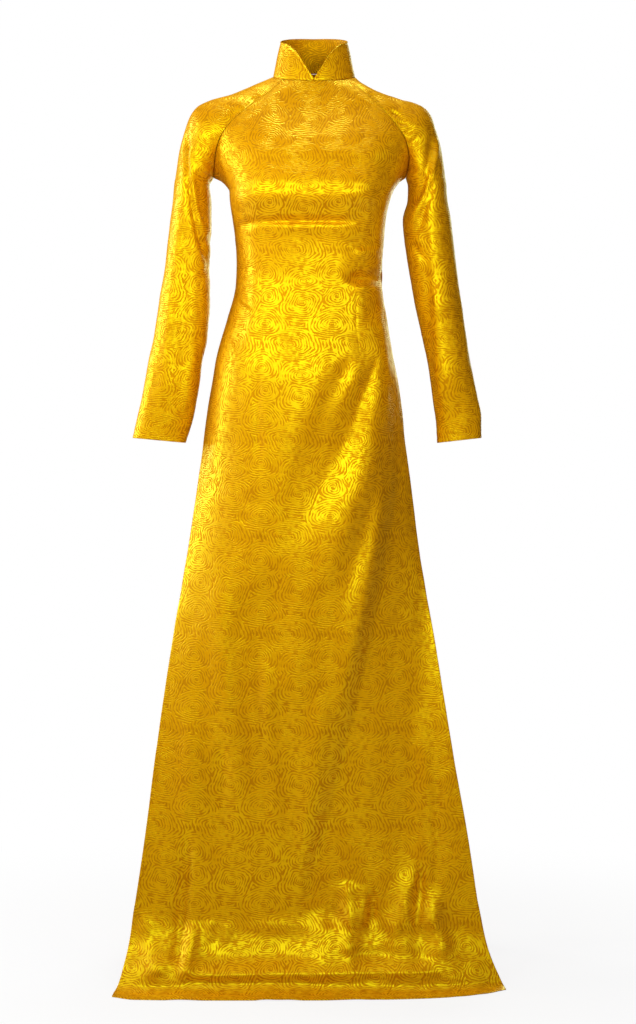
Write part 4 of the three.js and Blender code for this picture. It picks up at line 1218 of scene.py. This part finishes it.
def rose_group():
    """Roses of wavy, broken petal lines that wind round each centre and meet between the roses."""
    group, nodes, given, result = new_group(
        "rose_petals",
        {"Cloth": None, "Repeat Width": 107.0, "Repeat Height": 150.0, "Petal Pitch": 4.5, "Waviness": 1.0},
        ("Line", "Height"),
    )
    place = nodes.scale(given["Cloth"], 1 / MM)
    width, height, pitch = given["Repeat Width"], given["Repeat Height"], given["Petal Pitch"]
    noises = [repeating_noise(nodes, place, width, height, size) for size, _ in WANDERING]
    for noise, (_, amount) in zip(noises, WANDERING):
        shift = nodes.vector("SUBTRACT", noise, (0.5, 0.5, 0.5))
        shift = nodes.vector("MULTIPLY", shift, (amount, amount, 0))
        place = nodes.vector("ADD", place, nodes.scale(shift, given["Waviness"]))
    half = nodes.joined(nodes.math("MULTIPLY", width, 0.5), nodes.math("MULTIPLY", height, 0.5), 1.0)
    opposite = nodes.vector("MULTIPLY", half, (-1, -1, -1))

    nearest = None
    for rose in table_rows(ROSES):
        stretch = OVAL_SHARE * (rose["half_width"] - rose["half_height"])
        wide, high = rose["half_width"] - stretch, rose["half_height"]
        size = math.sqrt(wide * high)
        offset = nodes.vector("SUBTRACT", place, (rose["x"], rose["y"], 0))
        offset = nodes.vector("WRAP", offset, half, opposite)
        inner = nodes.vector("MAXIMUM", nodes.vector("MINIMUM", offset, (stretch, 0, 0)), (-stretch, 0, 0))
        offset = nodes.vector("SUBTRACT", offset, inner)
        offset = nodes.vector("MULTIPLY", offset, (size / wide, size / high, 0))
        parts = nodes.parts(offset)
        turn = nodes.math("ARCTAN2", parts["Y"], parts["X"])
        wave = nodes.math("SINE", nodes.math("MULTIPLY_ADD", turn, rose["petals"], rose["x"]))
        scallop = nodes.math("MULTIPLY_ADD", wave, SCALLOP, 1.0)
        reach = nodes.math("MULTIPLY", nodes.vector("LENGTH", offset), scallop)
        wound = nodes.math("MULTIPLY", turn, rose["wind"] / (2 * math.pi))
        reach = nodes.math("ADD", reach, nodes.math("MULTIPLY", wound, pitch))
        reach = nodes.math("SUBTRACT", reach, size)
        nearest = reach if nearest is None else nodes.math("MINIMUM", nearest, reach)

    inside = nodes.math("MINIMUM", nearest, 0.0)
    closer = nodes.math("MULTIPLY", nodes.math("MULTIPLY", inside, inside), CLOSING)
    turns = nodes.math("ADD", nodes.math("DIVIDE", nearest, pitch), closer)
    wave = nodes.math("COSINE", nodes.math("MULTIPLY", turns, 2 * math.pi))
    broken = nodes.math("MULTIPLY_ADD", nodes.parts(noises[1])["Z"], *BREAKS)
    wave = nodes.math("ADD", wave, broken)
    wave = nodes.math("MAXIMUM", wave, nodes.ramp(nearest, LOZENGE_FROM, LOZENGE_TO, -1.0, 1.0))
    nodes.fill(result, {"Line": nodes.ramp(wave, -0.4, 0.4), "Height": nodes.ramp(wave, 0.8, -0.8)})
    return group


def repeating_noise(nodes, place, width, height, size):
    """Noise with spots of about the given size, the same in every repeat of the pattern."""
    parts = nodes.parts(place)
    rounds = []
    for part, period in ((parts["X"], width), (parts["Y"], height)):
        radius = nodes.math("DIVIDE", period, 2 * math.pi)
        angle = nodes.math("DIVIDE", part, radius)
        rounds += [nodes.math("MULTIPLY", nodes.math(turn, angle), radius) for turn in ("COSINE", "SINE")]
    inputs = {"Vector": nodes.joined(*rounds[:3]), "W": rounds[3], "Scale": 1 / size, "Detail": 0.0}
    return nodes.add("ShaderNodeTexNoise", inputs, noise_dimensions="4D").outputs["Color"]


def weave_group():
    """Fine floats of the satin weave: long warp threads tied down in steps."""
    group, nodes, given, result = new_group("satin_weave", {"Cloth": None, "Thread": 0.28}, ["Height"])
    parts = nodes.parts(nodes.scale(given["Cloth"], 1 / MM))
    across, down = (nodes.math("DIVIDE", parts[axis], given["Thread"]) for axis in "XY")
    thread = nodes.math("PINGPONG", across, 0.5)
    step = nodes.math("MULTIPLY", nodes.math("FLOOR", across), 0.4)
    tie = nodes.math("PINGPONG", nodes.math("MULTIPLY_ADD", down, 0.2, step), 0.5)
    nodes.fill(result, {"Height": nodes.math("MULTIPLY", thread, nodes.ramp(tie, 0.02, 0.12))})
    return group


def new_material(name):
    """A material, its node helper and its shader."""
    material = bpy.data.materials.new(name)
    material.use_nodes = True
    return material, Nodes(material.node_tree), material.node_tree.nodes["Principled BSDF"]


def cloth_material(name, groups, look, reverse=False):
    """Rose brocade: glossy satin ground, duller petal lines and painted shade at seams and hems, or its
    duller reverse.
    """
    material, nodes, shader = new_material(name)
    cloth = nodes.add("ShaderNodeUVMap", uv_map="cloth").outputs[0]
    sizes = {
        "Cloth": cloth,
        "Repeat Width": look.repeat_width / MM,
        "Repeat Height": look.repeat_height / MM,
        "Petal Pitch": look.petal_pitch / MM,
        "Waviness": look.waviness,
    }
    rose = nodes.add("ShaderNodeGroup", node_tree=groups["rose"])
    nodes.fill(rose, sizes)
    weave = nodes.add("ShaderNodeGroup", node_tree=groups["weave"])
    nodes.fill(weave, {"Cloth": cloth})
    line = rose.outputs["Line"]
    # painted shade mask: 1 at seams and hems
    edge = nodes.add("ShaderNodeAttribute", attribute_name="edge").outputs["Fac"]

    satin, petal = (*look.satin_color, 1), (*look.petal_color, 1)
    smooth, dull, gloss = look.satin_roughness, look.petal_roughness, look.gloss
    petal_metal, grain = 0.5, 0.15
    # On the reverse the woven colours swap, as on the back of the weave; this also paints the inside faces
    # darker, as shade inside the gown.
    if reverse:
        satin, petal = petal, satin
        smooth, dull, gloss = 0.6, 0.5, 1.7
        petal_metal, grain = 0.2, 0.0
    noise = {"Vector": cloth, "Scale": 14.0, "Detail": 3.0}
    uneven = nodes.add("ShaderNodeTexNoise", noise, noise_dimensions="2D").outputs["Fac"]
    color = nodes.blend(nodes.math("MULTIPLY", line, LINE_SHARE), satin, petal)
    color = nodes.blend(nodes.ramp(uneven, 0.3, 0.7, 0.0, 0.04), color, petal)
    # painted shade darkens the colour along seams and hems
    color = nodes.blend(nodes.math("MULTIPLY", edge, SEAM_SHADE_SHARE), color, SEAM_SHADE_COLOR)
    rough = nodes.ramp(line, 0, 1, smooth, dull)
    rough = nodes.math("ADD", rough, nodes.ramp(uneven, 0.2, 0.8, -0.03, 0.03))
    metal = nodes.ramp(line, 0, 1, 0.08, petal_metal)
    relief = {"Strength": 1.0, "Distance": look.petal_relief, "Height": rose.outputs["Height"]}
    normal = nodes.add("ShaderNodeBump", relief).outputs[0]
    threads = {"Strength": 0.25, "Distance": THREAD_RELIEF, "Height": weave.outputs["Height"]}
    normal = nodes.add("ShaderNodeBump", {**threads, "Normal": normal}).outputs[0]
    tangent = nodes.add("ShaderNodeTangent", direction_type="UV_MAP", uv_map="cloth").outputs[0]
    nodes.fill(shader, {
        "Base Color": color,
        "Roughness": rough,
        "Metallic": metal,
        "IOR": gloss,
        "Specular IOR Level": 0.9,
        "Specular Tint": (*look.gloss_color, 1),
        "Sheen Weight": 0.04,
        "Sheen Roughness": 0.4,
        "Sheen Tint": SHEEN_COLOR,
        "Anisotropic": grain,
        "Normal": normal,
        "Tangent": tangent,
    })
    return material


def thread_material(look):
    """Twisted silk thread of the stitches."""
    material, nodes, shader = new_material("silk_thread")
    place = nodes.add("ShaderNodeTexCoord").outputs["Object"]
    shade = nodes.add("ShaderNodeTexNoise", {"Vector": place, "Scale": 900.0}).outputs["Fac"]
    color = nodes.blend(shade, (*look.satin_color, 1), (*look.petal_color, 1))
    rough = nodes.ramp(shade, 0, 1, 0.35, 0.5)
    nodes.fill(shader, {"Base Color": color, "Metallic": 0.3, "Roughness": rough})
    return material


# ---- Stitches ----

STITCH_SEED = 4
STITCH_SIZES = (0.85, 1.1)  # shortest and longest, in shares of the stitch length
SUNK_SHARE = 0.3  # of the thread's radius, from the cloth to the middle of a stitch


def stitch_tree(material):
    """Geometry nodes that lay short stitches along the lines they are given."""
    tree = bpy.data.node_groups.new("stitch_rows", "GeometryNodeTree")
    add_socket = tree.interface.new_socket
    add_socket("Lines", in_out="INPUT", socket_type="NodeSocketGeometry")
    for name, value in (("Stitch Length", 0.0022), ("Stitch Pitch", 0.0034), ("Thread Radius", 0.00016)):
        add_socket(name, in_out="INPUT", socket_type="NodeSocketFloat").default_value = value
    add_socket("Seed", in_out="INPUT", socket_type="NodeSocketInt").default_value = STITCH_SEED
    add_socket("Stitches", in_out="OUTPUT", socket_type="NodeSocketGeometry")
    nodes = Nodes(tree)
    given = nodes.add("NodeGroupInput").outputs
    curve = nodes.add("GeometryNodeMeshToCurve", {"Mesh": given["Lines"]}).outputs["Curve"]
    evenly = {"Curve": curve, "Length": given["Stitch Pitch"]}
    points = nodes.add("GeometryNodeResampleCurve", evenly, mode="LENGTH").outputs["Curve"]
    tangent = nodes.add("GeometryNodeInputTangent").outputs["Tangent"]
    turned = nodes.add("FunctionNodeAlignRotationToVector", {"Vector": tangent}, axis="Z").outputs[0]
    stitch = nodes.add("GeometryNodeMeshIcoSphere", {"Radius": 1.0, "Subdivisions": 1}).outputs["Mesh"]
    half = nodes.math("MULTIPLY", given["Stitch Length"], 0.5)
    spread = dict(zip(("Min", "Max", "Seed"), (*STITCH_SIZES, given["Seed"])))
    uneven = nodes.add("FunctionNodeRandomValue", spread, data_type="FLOAT").outputs[1]
    radius = given["Thread Radius"]
    size = nodes.joined(radius, radius, nodes.math("MULTIPLY", half, uneven))
    placing = {"Points": points, "Instance": stitch, "Rotation": turned, "Scale": size}
    placed = nodes.add("GeometryNodeInstanceOnPoints", placing).outputs["Instances"]
    solid = nodes.add("GeometryNodeRealizeInstances", {"Geometry": placed}).outputs["Geometry"]
    done = nodes.add("GeometryNodeSetMaterial", {"Geometry": solid, "Material": material})
    nodes.add("NodeGroupOutput", {0: done.outputs["Geometry"]})
    return tree


def stitch_mesh(name, lines, sizes, tree):
    """A plain mesh of stitches along the given lines of points."""
    mesh = bpy.data.meshes.new(f"{name}_lines")
    starts = np.cumsum([0] + [len(line) for line in lines])
    edges = np.concatenate(
        [np.stack([np.arange(a, b - 1), np.arange(a + 1, b)], axis=1) for a, b in zip(starts, starts[1:])]
    )
    mesh.from_pydata(np.concatenate(lines) * MM, edges, [])
    guide = add_object(mesh.name, mesh)
    modifier = guide.modifiers.new("stitches", "NODES")
    modifier.node_group = tree
    values = {
        "Stitch Length": sizes.length,
        "Stitch Pitch": sizes.length + sizes.gap,
        "Thread Radius": sizes.thread_radius,
    }
    for item in tree.interface.items_tree:
        if item.item_type == "SOCKET" and item.in_out == "INPUT" and item.name in values:
            modifier[item.identifier] = values[item.name]
    bpy.context.view_layer.update()
    evaluated = guide.evaluated_get(bpy.context.evaluated_depsgraph_get())
    result = bpy.data.meshes.new_from_object(evaluated)
    result.name = name
    bpy.data.objects.remove(guide)
    bpy.data.meshes.remove(mesh)
    return add_object(name, result)


def hem_lines(cloth, above):
    """Lines on the outer layer where a hem is sewn down: the bottom, and a panel's slit edges."""
    band = len(HEM_BAND) - 1
    raised = cloth.outer + grid_normals(cloth.outer, cloth.outward, cloth.closed_from) * above
    if cloth.closed_from is not None:
        return [raised[-1 - band]]
    slit = int(np.argmax(cloth.outer[:, 0, 2] < SLIT_Z)) + 2  # two rows under the slit top
    return [raised[-1 - band, band:-band], *(raised[slit:-band, column] for column in (band, -1 - band))]


# ---- Settings ----


class GownSettings(bpy.types.PropertyGroup):
    """Sizes of the cloth."""

    cloth_thickness: FloatProperty(
        name="Cloth thickness", description="Thickness of one layer of brocade",
        default=0.00045, unit="LENGTH", precision=5,
    )
    hem_thickness: FloatProperty(
        name="Hem thickness", description="Thickness of a turned hem",
        default=0.0011, unit="LENGTH", precision=5,
    )
    collar_thickness: FloatProperty(
        name="Collar thickness", description="Two layers of brocade with their stiffening",
        default=0.0018, unit="LENGTH", precision=5,
    )
    collar_cord: FloatProperty(
        name="Collar cord", description="How far the corded top edge of the collar stands out",
        default=0.0006, unit="LENGTH", precision=5,
    )


class BrocadeSettings(bpy.types.PropertyGroup):
    """Colours and pattern of the brocade."""

    satin_color: FloatVectorProperty(
        name="Satin", description="Colour of the satin ground",
        default=(0.85, 0.35, 0.001), size=3, subtype="COLOR", min=0, max=1,
    )
    petal_color: FloatVectorProperty(
        name="Petal lines", description="Colour of the woven petal lines",
        default=(0.6, 0.185, 0.0006), size=3, subtype="COLOR", min=0, max=1,
    )
    repeat_width: FloatProperty(
        name="Repeat width", description="Width of one repeat of the roses",
        default=0.107, unit="LENGTH",
    )
    repeat_height: FloatProperty(
        name="Repeat height", description="Height of one repeat of the roses",
        default=0.15, unit="LENGTH",
    )
    petal_pitch: FloatProperty(
        name="Petal pitch", description="Distance from one petal line to the next",
        default=0.0042, unit="LENGTH", precision=5,
    )
    petal_relief: FloatProperty(
        name="Petal relief", description="Height of the satin ground over the petal lines",
        default=0.00024, unit="LENGTH", precision=6,
    )
    waviness: FloatProperty(
        name="Waviness", description="How much the petal lines wander", default=1.0, min=0, max=3,
    )
    satin_roughness: FloatProperty(
        name="Satin roughness", description="Roughness of the satin ground", default=0.33, min=0, max=1,
    )
    petal_roughness: FloatProperty(
        name="Petal roughness", description="Roughness of the petal lines", default=0.6, min=0, max=1,
    )
    gloss: FloatProperty(
        name="Gloss", description="Refractive index that sets how strongly the silk shines", default=2.1,
        min=1, max=4,
    )
    gloss_color: FloatVectorProperty(
        name="Gloss colour", description="Colour of the shine on the silk",
        default=(0.64, 0.94, 0.01), size=3, subtype="COLOR", min=0, max=1,
    )


class StitchSettings(bpy.types.PropertyGroup):
    """Sizes of the stitches."""

    length: FloatProperty(
        name="Stitch length", description="Length of a stitch", default=0.0022, unit="LENGTH", precision=5,
    )
    gap: FloatProperty(
        name="Stitch gap", description="Gap between stitches", default=0.0014, unit="LENGTH", precision=5,
    )
    thread_radius: FloatProperty(
        name="Thread radius", description="Radius of the thread",
        default=0.00016, unit="LENGTH", precision=6,
    )


class StudioSettings(bpy.types.PropertyGroup):
    """Camera and lights."""

    camera_place: FloatVectorProperty(
        name="Camera place", description="Where the camera stands",
        default=(0.0064, -3.6, -0.584), size=3, subtype="TRANSLATION",
    )
    lens: FloatProperty(name="Lens", description="Focal length in millimetres", default=79.1)
    rise: FloatProperty(name="Lens shift", description="Vertical shift of the lens", default=-0.0674)
    brightness: FloatProperty(name="Brightness", description="Share of every light's power", default=1.0)
    room_light: FloatProperty(name="Room light", description="Strength of the light all round", default=0.03)


# ---- Operators ----

made = {}


def cloth_materials(scene):
    """The outer brocade and its reverse for the inside, darker partly as painted shade, made once."""
    if "cloth" not in made:
        groups = {"rose": rose_group(), "weave": weave_group()}
        made["cloth"] = [
            cloth_material("gold_rose_brocade", groups, scene.brocade),
            cloth_material("brocade_reverse", groups, scene.brocade, reverse=True),
        ]
    return made["cloth"]


def finish_cloth(scene, cloth):
    """Meshes a cloth, puts it on its body, hides its solid and keeps the cloth for its stitches."""
    thing = make_shell(cloth, cloth_materials(scene))
    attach(thing, "root")
    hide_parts(cloth.node)
    made[cloth.node] = cloth


class GOWN_OT_panels(bpy.types.Operator):
    """Make the front and back panels with their darts, folds and hems"""

    bl_idname = "gown.panels"
    bl_label = "Front and back panels"

    def execute(self, context):
        for panel in (FRONT, BACK):
            finish_cloth(context.scene, panel_cloth(panel, context.scene.gown))
        return {"FINISHED"}


class GOWN_OT_sleeves(bpy.types.Operator):
    """Make both raglan sleeves with their folds and cuffs"""

    bl_idname = "gown.sleeves"
    bl_label = "Sleeves"

    def execute(self, context):
        for side, creases in ((-1, LEFT_SLEEVE_CREASES), (1, RIGHT_SLEEVE_CREASES)):
            finish_cloth(context.scene, sleeve_cloth(side, creases, context.scene.gown))
        return {"FINISHED"}


class GOWN_OT_collar(bpy.types.Operator):
    """Make the standing collar"""

    bl_idname = "gown.collar"
    bl_label = "Collar"

    def execute(self, context):
        finish_cloth(context.scene, collar_cloth(context.scene.gown))
        return {"FINISHED"}


class GOWN_OT_stitches(bpy.types.Operator):
    """Sew the hems of the panels and the cuffs"""

    bl_idname = "gown.stitches"
    bl_label = "Hem stitches"

    def execute(self, context):
        sizes = context.scene.stitch
        tree = stitch_tree(thread_material(context.scene.brocade))
        for node in ("front_panel", "back_panel", "sleeve_left", "sleeve_right"):
            if node not in made:
                raise RuntimeError(f"make {node} before its stitches")
            lines = hem_lines(made[node], sizes.thread_radius / MM * SUNK_SHARE)
            stitches = stitch_mesh(f"{node}_stitches", lines, sizes, tree)
            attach(stitches, "root")
        return {"FINISHED"}


# Soft lights, in metres and watts: four in front, one far to each side, one above, two behind.
LIGHTS = table("x y z wide high power", [
    [0, -1.1, -0.13, 0.4, 0.8, 4.9],
    [-0.55, -0.95, 0, 0.4, 0.5, 4.1],
    [-1.15, -0.9, 0.1, 0.5, 0.7, 4.2],
    [0.65, -1.25, 0.05, 0.5, 0.7, 4.9],
    [-2.8, 0, 0.15, 0.8, 2, 38],
    [2.4, -1.4, 0.4, 0.8, 0.8, 4.5],
    [-2.2, 1.1, 0.2, 0.8, 1.6, 22],
    [0, 0.3, 1.6, 0.8, 0.8, 27],
    [0.7, 2.4, 0.1, 1.4, 1.4, 20],
])
LIT_PLACE = (0, 0, -0.6)  # the middle of the gown, at which every light points
WHITE = (1, 1, 1, 1)
FLOOR_SIZE = 60
FLOOR_NEAR, FLOOR_FAR = 0.3, 1.2  # between these the floor fades to the white round it


def add_light(light, brightness):
    """A soft rectangular light that points at the gown."""
    lamp = bpy.data.lights.new("soft_light", "AREA")
    lamp.shape = "RECTANGLE"
    lamp.size, lamp.size_y = light["wide"], light["high"]
    lamp.energy = light["power"] * brightness
    thing = add_object("soft_light", lamp)
    thing.location = place = (light["x"], light["y"], light["z"])
    x, y, z = unit(np.subtract(LIT_PLACE, place))
    thing.rotation_euler = (math.acos(-z), 0, math.atan2(-x, y))
    thing.visible_camera = False


def make_floor():
    """A wide pale floor that looks white to the camera and throws little light back."""
    bpy.ops.mesh.primitive_plane_add(size=FLOOR_SIZE, location=(0, 0, FLOOR_Z * MM))
    floor = bpy.context.object
    floor.name = "floor"
    material, nodes, shader = new_material("pale_floor")
    nodes.fill(shader, {"Base Color": (0.8, 0.8, 0.8, 1), "Roughness": 0.8})
    seen = nodes.add("ShaderNodeLightPath").outputs["Is Camera Ray"]
    white = nodes.add("ShaderNodeEmission", {"Color": WHITE, "Strength": 1.0}).outputs[0]
    away = nodes.vector("LENGTH", nodes.add("ShaderNodeTexCoord").outputs["Object"])
    mixed = nodes.math("MULTIPLY", seen, nodes.ramp(away, FLOOR_NEAR, FLOOR_FAR, 0.8, 1.0))
    surface = nodes.add("ShaderNodeMixShader", {0: mixed, 1: shader.outputs[0], 2: white}).outputs[0]
    nodes.fill(material.node_tree.nodes["Material Output"], {"Surface": surface})
    floor.data.materials.append(material)


def make_world(scene, strength):
    """White room for the camera, dimmer for what it lights."""
    scene.world = bpy.data.worlds.new("room")
    scene.world.use_nodes = True
    nodes = Nodes(scene.world.node_tree)
    nodes.tree.nodes.clear()
    seen = nodes.add("ShaderNodeLightPath").outputs["Is Camera Ray"]
    light, white = (
        nodes.add("ShaderNodeBackground", {"Color": WHITE, "Strength": level}).outputs[0]
        for level in (strength, 1.0)
    )
    surface = nodes.add("ShaderNodeMixShader", {0: seen, 1: light, 2: white}).outputs[0]
    nodes.add("ShaderNodeOutputWorld", {"Surface": surface})


def add_camera(scene, studio):
    camera = bpy.data.cameras.new("camera")
    camera.lens = studio.lens
    camera.sensor_fit = "AUTO"
    camera.shift_y = studio.rise
    scene.camera = add_object("camera", camera)
    scene.camera.location = studio.camera_place
    scene.camera.rotation_euler = (math.pi / 2, 0, 0)
    scene.view_settings.view_transform = "Standard"
    scene.view_settings.look = "None"


class GOWN_OT_studio(bpy.types.Operator):
    """Set the floor, the soft lights and the camera"""

    bl_idname = "gown.studio"
    bl_label = "Studio"

    def execute(self, context):
        studio = context.scene.studio
        make_floor()
        make_world(context.scene, studio.room_light)
        for light in table_rows(LIGHTS):
            add_light(light, studio.brightness)
        add_camera(context.scene, studio)
        return {"FINISHED"}


class GOWN_PT_parts(bpy.types.Panel):
    """Steps that make the gown, in order"""

    bl_idname = "GOWN_PT_parts"
    bl_label = "Ao dai gown"
    bl_space_type = "VIEW_3D"
    bl_region_type = "UI"
    bl_category = "Gown"

    def draw(self, context):
        for group in SETTINGS:
            box = self.layout.box()
            settings = getattr(context.scene, group)
            for name in settings.__annotations__:
                box.prop(settings, name)
        for operator in OPERATORS:
            self.layout.operator(operator.bl_idname)


SETTINGS = {
    "gown": GownSettings,
    "brocade": BrocadeSettings,
    "stitch": StitchSettings,
    "studio": StudioSettings,
}
OPERATORS = (GOWN_OT_panels, GOWN_OT_sleeves, GOWN_OT_collar, GOWN_OT_stitches, GOWN_OT_studio)


def register():
    for name, group in SETTINGS.items():
        bpy.utils.register_class(group)
        setattr(bpy.types.Scene, name, PointerProperty(type=group))
    for item in (*OPERATORS, GOWN_PT_parts):
        bpy.utils.register_class(item)


def unregister():
    for item in reversed((*OPERATORS, GOWN_PT_parts)):
        bpy.utils.unregister_class(item)
    for name, group in SETTINGS.items():
        delattr(bpy.types.Scene, name)
        bpy.utils.unregister_class(group)


def main():
    register()
    bpy.ops.gown.panels()
    bpy.ops.gown.sleeves()
    bpy.ops.gown.collar()
    bpy.ops.gown.stitches()
    bpy.ops.gown.studio()


if __name__ == "__main__":
    main()
